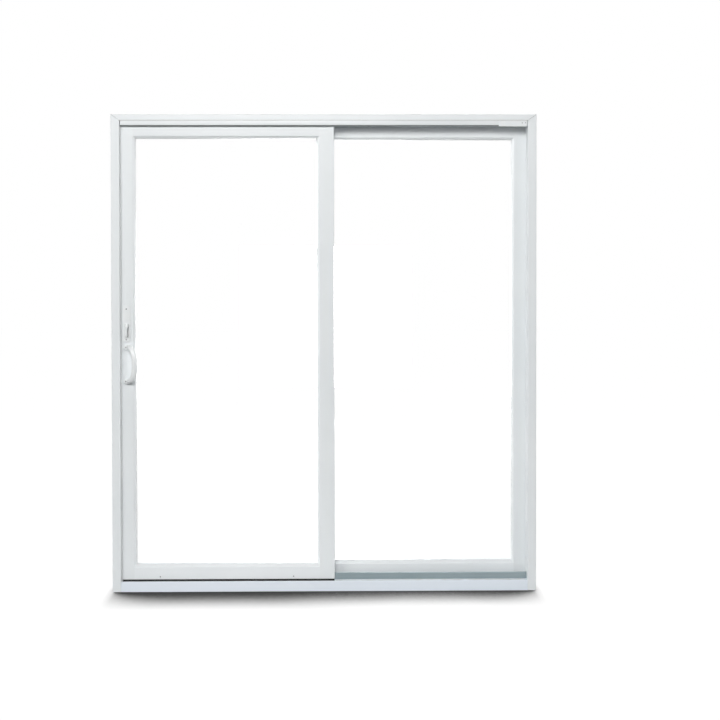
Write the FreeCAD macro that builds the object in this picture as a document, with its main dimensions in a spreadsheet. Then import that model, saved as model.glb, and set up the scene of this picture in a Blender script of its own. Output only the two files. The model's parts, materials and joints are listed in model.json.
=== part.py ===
import FreeCAD, Part
import math
import os
import Sketcher

# Sliding patio door, millimetres. X runs along the wall, Y from the room to the outside, Z up.
# The origin is the middle of the sill's underside.

doc = FreeCAD.newDocument("SlidingPatioDoor")
sheet = doc.addObject("Spreadsheet::Sheet", "Size")

SIZES = [
    ("frame_width", 1797, "outside width of the frame"),
    ("frame_height", 2019, "outside height of the frame"),
    ("frame_depth", 116, "depth of the frame through the wall"),
    ("jamb_face", 36, "face width of a side jamb"),
    ("head_face", 25, "height of the mitred head face"),
    ("face_depth", 6, "thickness of the mitred head face"),
    ("head_stop_height", 20, "height of the strip below the head face"),
    ("head_stop_recess", 1, "strip set back from the head face"),
    ("head_stop_round", 2.2, "rounding of the strip"),
    ("head_face_round", 1.6, "rounding of the head face above the strip"),
    ("mitre_gap", 0.8, "head face short of the jamb at its mitres"),
    ("clip_length", 119.5, "length of the end piece of the strip"),
    ("clip_height", 26, "height of the end piece of the strip"),
    ("clip_proud", 1, "end piece proud of the head face"),
    ("clip_gap", 3.5, "end piece short of the fixed jamb"),
    ("clip_corner", 4, "corner radius of the end piece"),
    ("clip_round", 2.2, "rounding of the end piece's rim"),
    ("head_leg", 5, "thickness of the middle leg of the head"),
    ("head_drip", 14, "outer head leg below the strip"),
    ("head_drip_thick", 10, "thickness of the outer head leg"),
    ("sill_height", 44, "height of the sill at the room side"),
    ("sill_seat", 52, "height of the seat under the fixed panel"),
    ("sill_nose", 38, "height of the sill at its outer edge"),
    ("sill_nose_run", 8, "run of the sloped outer edge"),
    ("sill_gutter", 36, "height of the gutter floor"),
    ("sill_gutter_margin", 5, "land between rail and gutter"),
    ("rail_thick", 6, "thickness of the roller rail"),
    ("rail_top", 72, "height of the top of the roller rail"),
    ("rail_seat", 6, "depth of the rail in the sill"),
    ("rail_round", 2.4, "rounding of the rail head"),
    ("panel_overlap", 76, "overlap of the two panels at the middle"),
    ("panel_engage", 12, "panel reaching up behind the strip below the head face"),
    ("panel_recess", 12, "sliding panel behind the frame's room face"),
    ("panel_gap", 10, "space between the two panels"),
    ("side_clear", 5, "sliding panel to lock jamb"),
    ("fixed_pocket", 4, "fixed panel set into its jamb"),
    ("stop_width", 16, "width of the lock jamb's outer stop"),
    ("stop_clear", 8, "sliding panel to the outer stop"),
    ("lock_stile", 50, "face of the stile beside the lock jamb"),
    ("outer_stile", 54, "face of the stile beside the fixed jamb"),
    ("meeting_stile", 63, "face of a stile at the middle"),
    ("top_rail", 57, "face of a top rail"),
    ("bottom_rail", 50, "face of a bottom rail"),
    ("bead_face", 7, "visible width of beads and lips at sides and top"),
    ("bead_foot", 12, "visible height of the bottom beads and lips"),
    ("bead_recess", 2, "bead set back from the panel face"),
    ("bead_edge", 2, "thickness of a bead at the glass"),
    ("lip_thick", 14, "thickness of the outer glazing lip"),
    ("glass_unit", 20, "thickness of the sealed double glass"),
    ("pane_thick", 3, "thickness of one pane"),
    ("glass_clear", 2, "glass edge to the rebate floor"),
    ("spacer_width", 4.5, "width of the spacer in the glass edge"),
    ("reveal_width", 2, "width of the shadow groove on a stile"),
    ("reveal_depth", 1.5, "depth of the shadow groove on a stile"),
    ("lock_reveal", 9, "shadow groove from the panel edge at the jamb side"),
    ("meeting_reveal", 15, "shadow groove from the panel edge at the middle"),
    ("edge_round", 2.5, "rounding of the long edges"),
    ("slot_width", 18, "width of the slot over the roller rail"),
    ("slot_clear", 8, "slot above the rail"),
    ("wheel_tread", 9, "radius of a roller's tread"),
    ("wheel_flange", 12, "radius of a roller's flanges"),
    ("wheel_width", 10, "width of a roller"),
    ("wheel_groove", 7, "width of the groove in a roller, at its tread"),
    ("wheel_groove_rim", 8, "width of the groove in a roller, at its rim"),
    ("wheel_axle", 2.5, "radius of a roller's axle"),
    ("wheel_clear", 0.3, "roller tread above the rail"),
    ("carriage_length", 48, "length of a roller carriage"),
    ("carriage_wall", 2, "wall of a roller carriage"),
    ("carriage_top", 97, "height of the top of a carriage"),
    ("carriage_foot", 76, "height of the bottom of a carriage"),
    ("roller_left", 159, "roller from the panel's lock edge"),
    ("roller_right", 175, "roller from the panel's meeting edge"),
    ("adjuster_height", 61, "height of the roller adjuster holes"),
    ("adjuster_radius", 3, "radius of the roller adjuster holes"),
    ("seal_width", 8, "width of the pile seals"),
    ("seal_thick", 3, "pile seal on the lock jamb stop"),
    ("seal_inset", 12, "middle seal from the fixed panel's edge"),
    ("open_clear", 10, "outer pull short of the fixed panel when open"),
    ("stop_block_clear", 5, "opened panel to its stop block"),
    ("stop_block_length", 24, "length of the stop block"),
    ("stop_block_width", 26, "width of the stop block"),
    ("lock_height", 1110, "height of the middle of the lock plates"),
    ("lock_plate_length", 160, "length of the lock plates on the edges"),
    ("lock_plate_width", 22, "width of the lock plates on the edges"),
    ("lock_plate_thick", 2, "thickness of the lock plates on the edges"),
    ("lock_slot_length", 46, "length of the hook slot"),
    ("lock_slot_width", 9, "width of the hook slot"),
    ("lock_slot_depth", 14, "depth of the hook slot"),
    ("screw_low", 280, "height of the lowest fixing hole"),
    ("screw_pitch", 480, "pitch of the fixing holes in a jamb"),
    ("screw_radius", 2.75, "radius of the fixing holes"),
    ("handle_inset", 20.5, "middle of the lock handle from the panel edge"),
    ("latch_plate_width", 33, "width of the latch plate"),
    ("latch_plate_length", 154, "length of the latch plate"),
    ("latch_plate_thick", 4, "thickness of the latch plate"),
    ("latch_plate_corner", 11, "corner radius of the latch plate"),
    ("latch_plate_bevel", 1.2, "bevel of the latch plate's rim"),
    ("latch_plate_rise", 27, "middle of the latch plate above the lock plates"),
    ("latch_drop", 9, "latch pivot below the middle of its plate"),
    ("latch_hub", 10, "radius of the latch hub"),
    ("latch_hub_thick", 12, "height of the latch hub off its plate"),
    ("latch_lever_length", 48, "latch lever from pivot to tip"),
    ("latch_lever_root", 8, "half width of the lever at its hub"),
    ("latch_lever_tip", 5, "half width of the lever at its tip"),
    ("latch_tip_round", 4.5, "rounding of the lever's tip"),
    ("latch_lever_thick", 7, "thickness of the latch lever"),
    ("latch_spindle", 4, "radius of the latch spindle"),
    ("latch_spindle_length", 3, "latch spindle in its plate"),
    ("latch_clear", 0.3, "latch hub off its plate"),
    ("latch_bore_clear", 0.1, "latch spindle in its bore, on the radius"),
    ("pull_drop", 145, "middle of the pulls below the lock plates"),
    ("pull_inset", 26.5, "middle of the room pull from the panel edge"),
    ("pull_pitch", 144, "height between the legs of the room pull"),
    ("pull_reach", 51, "reach of the room pull along its lean"),
    ("pull_lean", 43, "lean of the room pull out of the panel face"),
    ("pull_bend", 46, "bend radius of the room pull"),
    ("pull_width", 22, "width of the room pull's bar"),
    ("pull_thick", 14, "thickness of the room pull's bar"),
    ("pull_root", 16, "room pull carried on behind the panel face before its cut"),
    ("pull_foot_length", 36, "length of a foot of the room pull"),
    ("pull_foot_width", 24, "width of a foot of the room pull"),
    ("pull_foot_thick", 4, "thickness of a foot of the room pull"),
    ("outer_pull_pitch", 140, "height between the legs of the outer pull"),
    ("outer_pull_reach", 34, "reach of the outer pull"),
    ("outer_pull_bend", 18, "bend radius of the outer pull"),
    ("outer_pull_width", 20, "width of the outer pull's bar"),
    ("outer_pull_thick", 13, "thickness of the outer pull's bar"),
    ("outer_pull_bevel", 3, "bevel along the outer pull's bar"),
    ("outer_pull_inset", 34, "middle of the outer pull from the panel edge"),
]

FIXING_SCREWS = 4
QUARTER_TURN = math.pi / 2

for row, (alias, value, note) in enumerate(SIZES, start=1):
    sheet.set("A%d" % row, note)
    sheet.set("B%d" % row, str(value))
    sheet.setAlias("B%d" % row, alias)
doc.recompute()


def size(alias):
    return "Size." + alias


def number(expression):
    return float(sheet.evalExpression(expression))


def new_body(label, x="0", y="0", z="0"):
    body = doc.addObject("PartDesign::Body", label)
    body.Label = label
    body.AllowCompound = True
    for axis, place in zip("xyz", (x, y, z)):
        if place != "0":
            body.setExpression("Placement.Base." + axis, place)
    return body


def new_sketch(body, name, role, shift="0"):
    sketch = body.newObject("Sketcher::SketchObject", body.Name + "_" + name)
    support = next(f for f in body.Origin.OriginFeatures if f.Role == role)
    sketch.AttachmentSupport = [(support, "")]
    sketch.MapMode = "FlatFace"
    if shift != "0":
        sketch.setExpression("AttachmentOffset.Base.z", shift)
    return sketch


def hold(sketch, kind, geometry, corner, expression):
    # ties one coordinate of a point to an expression, or to the axis where it is zero
    if expression == "0":
        axis = -2 if kind == "DistanceX" else -1
        sketch.addConstraint(Sketcher.Constraint("PointOnObject", geometry, corner, axis))
        return
    value = number(expression)
    index = sketch.addConstraint(Sketcher.Constraint(kind, -1, 1, geometry, corner, value))
    sketch.setExpression("Constraints[%d]" % index, expression)


def polygon(sketch, corners):
    points = [FreeCAD.Vector(number(u), number(v), 0) for u, v in corners]
    first = sketch.GeometryCount
    count = len(points)
    for k in range(count):
        sketch.addGeometry(Part.LineSegment(points[k], points[(k + 1) % count]), False)
    for k in range(count):
        following = first + (k + 1) % count
        sketch.addConstraint(Sketcher.Constraint("Coincident", first + k, 2, following, 1))
    for k, (u, v) in enumerate(corners):
        hold(sketch, "DistanceX", first + k, 1, u)
        hold(sketch, "DistanceY", first + k, 1, v)


def rectangle(sketch, low_u, low_v, high_u, high_v):
    polygon(sketch, [(low_u, low_v), (high_u, low_v), (high_u, high_v), (low_u, high_v)])


def circle(sketch, u, v, radius):
    place = FreeCAD.Vector(number(u), number(v), 0)
    ring = Part.Circle(place, FreeCAD.Vector(0, 0, 1), number(radius))
    index = sketch.addGeometry(ring, False)
    hold(sketch, "DistanceX", index, 3, u)
    hold(sketch, "DistanceY", index, 3, v)
    bound = sketch.addConstraint(Sketcher.Constraint("Radius", index, number(radius)))
    sketch.setExpression("Constraints[%d]" % bound, radius)


def pad(body, sketch, length, backwards=False):
    feature = body.newObject("PartDesign::Pad", sketch.Name + "_pad")
    feature.Profile = sketch
    feature.Reversed = backwards
    feature.setExpression("Length", length)
    doc.recompute()
    return feature


def pocket(body, sketch, length=None, backwards=False):
    # a pocket with no length runs through everything, both ways
    before = body.Tip.Shape.Volume
    feature = body.newObject("PartDesign::Pocket", sketch.Name + "_pocket")
    feature.Profile = sketch
    feature.Reversed = backwards
    if length is None:
        feature.Type = "ThroughAll"
        feature.SideType = "Symmetric"
    else:
        feature.setExpression("Length", length)
    doc.recompute()
    if feature.Shape.Volume >= before - 1e-6:
        raise RuntimeError(feature.Name + " cuts nothing")
    return feature


def edges_along(feature, axis, places):
    # names of the straight edges along an axis that pass through the given places across it
    across = [k for k in range(3) if k != "XYZ".index(axis)]
    wanted = [(number(a), number(b)) for a, b in places]
    names = []
    for k, edge in enumerate(feature.Shape.Edges, start=1):
        ends = [vertex.Point for vertex in edge.Vertexes]
        if len(ends) != 2:
            continue
        span = ends[1] - ends[0]
        if any(abs(span[c]) > 1e-4 for c in across):
            continue
        for a, b in wanted:
            if abs(ends[0][across[0]] - a) < 1e-3 and abs(ends[0][across[1]] - b) < 1e-3:
                names.append("Edge%d" % k)
    return names


def fillet(body, edges, radius):
    base = body.Tip
    feature = body.newObject("PartDesign::Fillet", body.Name + "_round%d" % len(body.Group))
    feature.Base = (base, edges)
    feature.setExpression("Radius", radius)
    doc.recompute()
    return feature


def chamfer(body, edges, width):
    base = body.Tip
    feature = body.newObject("PartDesign::Chamfer", body.Name + "_bevel%d" % len(body.Group))
    feature.Base = (base, edges)
    feature.setExpression("Size", width)
    doc.recompute()
    return feature


# Places across the frame
half_width = f"({size('frame_width')} / 2)"
inner_half = f"({half_width} - {size('jamb_face')})"
front = f"(-{size('frame_depth')} / 2)"
back = f"({size('frame_depth')} / 2)"
top = size("frame_height")
head_ceiling = f"({top} - {size('head_face')})"
head_low = f"({head_ceiling} - {size('head_stop_height')})"
head_drip_low = f"({head_low} - {size('head_drip')})"
face_back = f"({front} + {size('face_depth')})"
clip_right = f"({inner_half} - {size('clip_gap')})"
clip_left = f"({clip_right} - {size('clip_length')})"

# Places of the two panels
panel_width = (
    f"((2 * {inner_half} + {size('fixed_pocket')} - {size('side_clear')}"
    f" + {size('panel_overlap')}) / 2)"
)
panel_thick = (
    f"(({size('frame_depth')} - {size('panel_recess')} - {size('panel_gap')}"
    f" - {size('head_drip_thick')}) / 2)"
)
slide_front = f"({front} + {size('panel_recess')})"
slide_back = f"({slide_front} + {panel_thick})"
slide_middle = f"({slide_front} + {panel_thick} / 2)"
fixed_front = f"({slide_back} + {size('panel_gap')})"
fixed_back = f"({fixed_front} + {panel_thick})"
slide_left = f"(-{inner_half} + {size('side_clear')})"
slide_right = f"({slide_left} + {panel_width})"
fixed_right = f"({inner_half} + {size('fixed_pocket')})"
fixed_left = f"({fixed_right} - {panel_width})"
panel_low = size("sill_seat")
panel_high = f"({head_low} + {size('panel_engage')})"
panel_height = f"({panel_high} - {panel_low})"
stop_front = f"({slide_back} + {size('stop_clear')})"
leg_front = f"({fixed_front} - {size('head_leg')})"

# Places of the rail and its slot
rail_front = f"({slide_middle} - {size('rail_thick')} / 2)"
rail_back = f"({slide_middle} + {size('rail_thick')} / 2)"
rail_low = f"({size('sill_height')} - {size('rail_seat')})"
slot_front = f"({slide_middle} - {size('slot_width')} / 2)"
slot_back = f"({slide_middle} + {size('slot_width')} / 2)"
slot_high = f"({size('rail_top')} + {size('slot_clear')})"

# Places of the lock
lock_low = f"({size('lock_height')} - {size('lock_plate_length')} / 2)"
lock_high = f"({size('lock_height')} + {size('lock_plate_length')} / 2)"
lock_front = f"({slide_middle} - {size('lock_plate_width')} / 2)"
lock_back = f"({slide_middle} + {size('lock_plate_width')} / 2)"
hook_low = f"({size('lock_height')} - {size('lock_slot_length')} / 2)"
hook_high = f"({size('lock_height')} + {size('lock_slot_length')} / 2)"
hook_front = f"({slide_middle} - {size('lock_slot_width')} / 2)"
hook_back = f"({slide_middle} + {size('lock_slot_width')} / 2)"
handle_x = f"({slide_left} + {size('handle_inset')})"
latch_plate_z = f"({size('lock_height')} + {size('latch_plate_rise')})"
latch_z = f"({latch_plate_z} - {size('latch_drop')})"
pull_z = f"({size('lock_height')} - {size('pull_drop')})"
pull_x = f"({slide_left} + {size('pull_inset')})"
outer_pull_x = f"({slide_left} + {size('outer_pull_inset')})"
travel = (
    f"({fixed_left} - {size('open_clear')} - {outer_pull_x}"
    f" - {size('outer_pull_width')} / 2)"
)


def head_jamb():
    body = new_body("head_jamb")
    section = new_sketch(body, "section", "YZ_Plane", f"-{inner_half}")
    polygon(section, [
        (face_back, top), (face_back, head_ceiling),
        (leg_front, head_ceiling), (leg_front, head_low),
        (fixed_front, head_low), (fixed_front, head_ceiling),
        (fixed_back, head_ceiling), (fixed_back, head_drip_low),
        (back, head_drip_low), (back, top),
    ])
    pad(body, section, f"2 * {inner_half}")
    face = new_sketch(body, "face", "XZ_Plane", f"-{face_back}")
    outer = f"({half_width} - {size('mitre_gap')})"
    inner = f"({outer} - {size('head_face')})"
    polygon(face, [
        (f"-{outer}", top), (f"-{inner}", head_ceiling), (inner, head_ceiling), (outer, top),
    ])
    pad(body, face, size("face_depth"))
    fillet(body, edges_along(body.Tip, "X", [(front, top)]), size("edge_round"))
    fillet(body, edges_along(body.Tip, "X", [(front, head_ceiling)]), size("head_face_round"))


def fixing_holes(body, y):
    # a row of holes for the fixing screws, along the height of a jamb
    holes = new_sketch(body, "holes", "YZ_Plane")
    for k in range(FIXING_SCREWS):
        circle(holes, y, f"({size('screw_low')} + {k} * {size('screw_pitch')})", size("screw_radius"))
    pocket(body, holes)


def mitre_cut(body, side):
    # takes the corner of a jamb away under the mitred head face
    corner = new_sketch(body, "mitre", "XZ_Plane", f"-{front}")
    polygon(corner, [
        (f"{side}{half_width}", top),
        (f"{side}({half_width} - {size('head_face')})", head_ceiling),
        (f"{side}{inner_half}", head_ceiling),
        (f"{side}{inner_half}", top),
    ])
    pocket(body, corner, size("face_depth"))


def lock_jamb():
    body = new_body("lock_jamb")
    section = new_sketch(body, "section", "XY_Plane")
    rectangle(section, f"-{half_width}", front, f"-{inner_half}", back)
    pad(body, section, top)
    stop = new_sketch(body, "stop", "XY_Plane", panel_low)
    rectangle(stop, f"-{inner_half}", stop_front, f"(-{inner_half} + {size('stop_width')})", back)
    pad(body, stop, f"{head_drip_low} - {panel_low}")
    fillet(body, edges_along(body.Tip, "Z", [(f"-{half_width}", front), (f"-{inner_half}", front)]),
           size("edge_round"))
    mitre_cut(body, "-")
    plate = new_sketch(body, "plate", "YZ_Plane", f"-{inner_half}")
    rectangle(plate, lock_front, lock_low, lock_back, lock_high)
    pocket(body, plate, size("lock_plate_thick"))
    hook = new_sketch(body, "hook", "YZ_Plane", f"-{inner_half}")
    rectangle(hook, hook_front, hook_low, hook_back, hook_high)
    pocket(body, hook, size("lock_slot_depth"))
    fixing_holes(body, slide_middle)


def fixed_jamb():
    body = new_body("fixed_jamb")
    section = new_sketch(body, "section", "XY_Plane")
    rectangle(section, inner_half, front, half_width, back)
    pad(body, section, top)
    fillet(body, edges_along(body.Tip, "Z", [(half_width, front), (inner_half, front)]),
           size("edge_round"))
    mitre_cut(body, "")
    seat = new_sketch(body, "seat", "XY_Plane", panel_low)
    rectangle(seat, inner_half, fixed_front, fixed_right, fixed_back)
    pocket(body, seat, panel_height, backwards=True)
    fixing_holes(body, slide_middle)


def sill():
    body = new_body("sill")
    section = new_sketch(body, "section", "YZ_Plane", f"-{inner_half}")
    ledge = size("sill_height")
    gutter_front = f"({rail_back} + {size('sill_gutter_margin')})"
    seat_back = f"({back} - {size('sill_nose_run')})"
    polygon(section, [
        (front, "0"), (front, ledge),
        (rail_front, ledge), (rail_front, rail_low),
        (rail_back, rail_low), (rail_back, ledge),
        (gutter_front, ledge), (gutter_front, size("sill_gutter")),
        (leg_front, size("sill_gutter")), (leg_front, size("sill_seat")),
        (seat_back, size("sill_seat")), (back, size("sill_nose")), (back, "0"),
    ])
    pad(body, section, f"2 * {inner_half}")
    fillet(body, edges_along(body.Tip, "X", [(front, ledge)]), size("edge_round"))


def roller_rail():
    body = new_body("roller_rail")
    section = new_sketch(body, "section", "YZ_Plane", f"-{inner_half}")
    rectangle(section, rail_front, rail_low, rail_back, size("rail_top"))
    pad(body, section, f"2 * {inner_half}")
    crown = [(rail_front, size("rail_top")), (rail_back, size("rail_top"))]
    fillet(body, edges_along(body.Tip, "X", crown), size("rail_round"))


def head_stop():
    body = new_body("head_stop")
    face = f"({front} + {size('head_stop_recess')})"
    section = new_sketch(body, "section", "YZ_Plane", f"-{inner_half}")
    rectangle(section, face, head_low, face_back, head_ceiling)
    pad(body, section, f"{clip_left} + {inner_half}")
    fillet(body, edges_along(body.Tip, "X", [(face, head_low), (face, head_ceiling)]),
           size("head_stop_round"))


def front_rim(body):
    # names of the edges round the face nearest to the room
    face = min(body.Tip.Shape.Faces, key=lambda f: f.CenterOfMass.y)
    return [
        "Edge%d" % k for k, edge in enumerate(body.Tip.Shape.Edges, start=1)
        if any(edge.isSame(other) for other in face.Edges)
    ]


def head_clip():
    # end piece of the strip, at the fixed jamb
    body = new_body("head_clip")
    low = f"({head_ceiling} - {size('clip_height')})"
    outline = new_sketch(body, "outline", "XZ_Plane", f"-{face_back}")
    rectangle(outline, clip_left, low, clip_right, head_ceiling)
    pad(body, outline, f"{size('face_depth')} + {size('clip_proud')}")
    corners = [(clip_right, low), (clip_right, head_ceiling)]
    fillet(body, edges_along(body.Tip, "Y", corners), size("clip_corner"))
    fillet(body, front_rim(body), size("clip_round"))


def lock_plate(label, face, towards):
    # a flush plate with a slot for the hook, on an edge of the jamb or the stile
    body = new_body(label)
    outline = new_sketch(body, "outline", "YZ_Plane", face)
    rectangle(outline, lock_front, lock_low, lock_back, lock_high)
    rectangle(outline, hook_front, hook_low, hook_back, hook_high)
    pad(body, outline, size("lock_plate_thick"), backwards=towards < 0)


def seal(label, left, near, far, low, high):
    body = new_body(label)
    section = new_sketch(body, "section", "XY_Plane", low)
    rectangle(section, left, near, f"({left} + {size('seal_width')})", far)
    pad(body, section, f"{high} - {low}")


def open_stop():
    body = new_body("open_stop")
    left = f"({slide_right} + {travel} + {size('stop_block_clear')})"
    block = new_sketch(body, "block", "XY_Plane", head_low)
    rectangle(block, left, f"({slide_middle} - {size('stop_block_width')} / 2)",
              f"({left} + {size('stop_block_length')})",
              f"({slide_middle} + {size('stop_block_width')} / 2)")
    pad(body, block, size("head_stop_height"))


class Panel:
    # the places of one glazed panel, from its lower left front corner
    def __init__(self, prefix, left, near, left_face, right_face):
        self.prefix = prefix
        self.left = left
        self.near = near
        self.far = f"({near} + {panel_thick})"
        self.right = f"({left} + {panel_width})"
        self.stile_left = f"({left} + {left_face})"
        self.stile_right = f"({self.right} - {right_face})"
        self.rail_low = f"({panel_low} + {size('bottom_rail')})"
        self.rail_high = f"({panel_high} - {size('top_rail')})"
        self.day_left = f"({self.stile_left} + {size('bead_face')})"
        self.day_right = f"({self.stile_right} - {size('bead_face')})"
        self.day_low = f"({self.rail_low} + {size('bead_foot')})"
        self.day_high = f"({self.rail_high} - {size('bead_face')})"
        self.lip = f"({self.far} - {size('lip_thick')})"
        self.glass = f"({self.lip} - {size('glass_unit')})"
        self.bead = f"({near} + {size('bead_recess')})"

    def span(self):
        return f"{self.stile_right} - {self.stile_left}"


def stile(label, panel, outer, inner, day, reveal, slotted):
    # outer and inner are the stile's edges in X, day is the edge of its lip
    inward = 1 if number(inner) > number(outer) else -1
    groove_near = f"({outer} + {inward} * {size(reveal)})"
    groove_far = f"({groove_near} + {inward} * {size('reveal_width')})"
    floor = f"({panel.near} + {size('reveal_depth')})"
    body = new_body(label)
    section = new_sketch(body, "section", "XY_Plane", panel_low)
    polygon(section, [
        (outer, panel.near), (groove_near, panel.near), (groove_near, floor),
        (groove_far, floor), (groove_far, panel.near), (inner, panel.near),
        (inner, panel.far), (outer, panel.far),
    ])
    pad(body, section, panel_height)
    lip = new_sketch(body, "lip", "XY_Plane", panel.day_low)
    polygon(lip, [(inner, panel.lip), (day, panel.lip), (day, panel.far), (inner, panel.far)])
    pad(body, lip, f"{panel.day_high} - {panel.day_low}")
    corners = [(outer, panel.near), (outer, panel.far)]
    fillet(body, edges_along(body.Tip, "Z", corners), size("edge_round"))
    if slotted:
        slot = new_sketch(body, "slot", "YZ_Plane")
        rectangle(slot, slot_front, panel_low, slot_back, slot_high)
        pocket(body, slot)
    return body


def rail_bar(label, panel, low, high, rebate, day):
    # low and high are the rail's edges in Z, rebate the one at the glass, day the edge of its lip
    outer = low if rebate == high else high
    body = new_body(label)
    section = new_sketch(body, "section", "YZ_Plane", panel.stile_left)
    polygon(section, [
        (panel.near, outer), (panel.near, rebate), (panel.lip, rebate),
        (panel.lip, day), (panel.far, day), (panel.far, outer),
    ])
    pad(body, section, panel.span())
    return body


def beads(panel):
    # mitred glazing beads, sloped down to the glass on the room side
    deep = f"({panel.glass} - {size('bead_edge')})"
    thick = f"{panel.glass} - {panel.bead}"
    sides = new_body(panel.prefix + "_side_beads")
    outline = new_sketch(sides, "outline", "XZ_Plane", f"-{panel.glass}")
    ends = new_body(panel.prefix + "_end_beads")
    end_outline = new_sketch(ends, "outline", "XZ_Plane", f"-{panel.glass}")
    for stile_edge, day in ((panel.stile_left, panel.day_left), (panel.stile_right, panel.day_right)):
        polygon(outline, [
            (stile_edge, panel.rail_low), (day, panel.day_low),
            (day, panel.day_high), (stile_edge, panel.rail_high),
        ])
    for rail_edge, day in ((panel.rail_low, panel.day_low), (panel.rail_high, panel.day_high)):
        polygon(end_outline, [
            (panel.stile_left, rail_edge), (panel.day_left, day),
            (panel.day_right, day), (panel.stile_right, rail_edge),
        ])
    pad(sides, outline, thick)
    pad(ends, end_outline, thick)
    slope = new_sketch(sides, "slope", "XY_Plane")
    for stile_edge, day in ((panel.stile_left, panel.day_left), (panel.stile_right, panel.day_right)):
        polygon(slope, [(stile_edge, panel.bead), (day, panel.bead), (day, deep)])
    pocket(sides, slope)
    end_slope = new_sketch(ends, "slope", "YZ_Plane")
    for rail_edge, day in ((panel.rail_low, panel.day_low), (panel.rail_high, panel.day_high)):
        polygon(end_slope, [(panel.bead, rail_edge), (panel.bead, day), (deep, day)])
    pocket(ends, end_slope)


def glazing(panel):
    # two panes with a spacer between them, set in the rebates
    edge = size("glass_clear")
    left = f"({panel.stile_left} + {edge})"
    right = f"({panel.stile_right} - {edge})"
    low = f"({panel.rail_low} + {edge})"
    high = f"({panel.rail_high} - {edge})"
    inner_back = f"({panel.glass} + {size('pane_thick')})"
    outer_front = f"({panel.lip} - {size('pane_thick')})"
    body = new_body(panel.prefix + "_glass")
    for name, far in (("inner", inner_back), ("outer", panel.lip)):
        pane = new_sketch(body, name, "XZ_Plane", f"-{far}")
        rectangle(pane, left, low, right, high)
        pad(body, pane, size("pane_thick"))
    spacer = new_body(panel.prefix + "_spacer")
    ring = new_sketch(spacer, "ring", "XZ_Plane", f"-{outer_front}")
    width = size("spacer_width")
    rectangle(ring, left, low, right, high)
    rectangle(ring, f"({left} + {width})", f"({low} + {width})",
              f"({right} - {width})", f"({high} - {width})")
    pad(spacer, ring, f"{outer_front} - {inner_back}")


def roller_places():
    return (
        f"({slide_left} + {size('roller_left')})",
        f"({slide_right} - {size('roller_right')})",
    )


def running_gear(bottom_rail):
    # slot, carriage cavities and adjuster holes in the rail, then the rollers and carriages
    half = f"{size('carriage_length')} / 2"
    slot = new_sketch(bottom_rail, "slot", "YZ_Plane")
    rectangle(slot, slot_front, panel_low, slot_back, slot_high)
    pocket(bottom_rail, slot)
    cavity = new_sketch(bottom_rail, "cavity", "XY_Plane", slot_high)
    for x in roller_places():
        rectangle(cavity, f"({x} - {half})", slot_front, f"({x} + {half})", slot_back)
    pocket(bottom_rail, cavity, f"{size('carriage_top')} - {slot_high}", backwards=True)
    adjusters = new_sketch(bottom_rail, "adjusters", "XZ_Plane", f"-{slide_front}")
    for x in roller_places():
        circle(adjusters, x, size("adjuster_height"), size("adjuster_radius"))
    pocket(bottom_rail, adjusters, f"{slot_front} - {slide_front}")

    axle_high = f"({size('rail_top')} + {size('wheel_clear')} + {size('wheel_tread')})"
    bearing = f"({size('slot_width')} / 2 - {size('carriage_wall')})"
    shoulder = f"({size('wheel_width')} / 2)"
    flank = f"({size('wheel_groove')} / 2)"
    rim = f"({size('wheel_groove_rim')} / 2)"
    wheels = new_body("roller_wheels")
    for k, x in enumerate(roller_places()):
        wheel = new_sketch(wheels, "wheel%d" % k, "YZ_Plane", x)
        wheel.setExpression("AttachmentOffset.Base.x", slide_middle)
        wheel.setExpression("AttachmentOffset.Base.y", axle_high)
        right = [
            (bearing, "0"), (bearing, size("wheel_axle")), (shoulder, size("wheel_axle")),
            (shoulder, size("wheel_flange")), (rim, size("wheel_flange")), (flank, size("wheel_tread")),
        ]
        left = [(f"-{u}", v) for u, v in reversed(right)]
        polygon(wheel, right + left)
        turned = wheels.newObject("PartDesign::Revolution", wheel.Name + "_turned")
        turned.Profile = wheel
        turned.ReferenceAxis = (wheel, ["H_Axis"])
        turned.Angle = 360
        doc.recompute()

    carriages = new_body("roller_carriages")
    block = new_sketch(carriages, "block", "XY_Plane", size("carriage_foot"))
    hollow = new_sketch(carriages, "hollow", "XY_Plane", size("carriage_foot"))
    wall = size("carriage_wall")
    for x in roller_places():
        rectangle(block, f"({x} - {half})", slot_front, f"({x} + {half})", slot_back)
        rectangle(hollow, f"({x} - {half} + {wall})", f"({slot_front} + {wall})",
                  f"({x} + {half} - {wall})", f"({slot_back} - {wall})")
    tall = f"({size('carriage_top')} - {size('carriage_foot')})"
    pad(carriages, block, tall)
    pocket(carriages, hollow, f"{tall} - {wall}", backwards=True)
    ends = new_sketch(carriages, "ends", "XY_Plane", size("carriage_foot"))
    for x in roller_places():
        rectangle(ends, f"({x} - {half})", slot_front, f"({x} - {half} + {wall})", slot_back)
        rectangle(ends, f"({x} + {half} - {wall})", slot_front, f"({x} + {half})", slot_back)
    pocket(carriages, ends, f"{slot_high} - {size('carriage_foot')}", backwards=True)


def latch_plate():
    body = new_body("latch_plate", handle_x, slide_front, latch_plate_z)
    half_w = f"({size('latch_plate_width')} / 2)"
    half_l = f"({size('latch_plate_length')} / 2)"
    outline = new_sketch(body, "outline", "XZ_Plane")
    rectangle(outline, f"-{half_w}", f"-{half_l}", half_w, half_l)
    pad(body, outline, size("latch_plate_thick"))
    corners = [(x, z) for x in (half_w, f"-{half_w}") for z in (half_l, f"-{half_l}")]
    fillet(body, edges_along(body.Tip, "Y", corners), size("latch_plate_corner"))
    chamfer(body, front_rim(body), size("latch_plate_bevel"))
    bore = new_sketch(body, "bore", "XZ_Plane")
    circle(bore, "0", f"-{size('latch_drop')}",
           f"({size('latch_spindle')} + {size('latch_bore_clear')})")
    pocket(body, bore)


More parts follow.
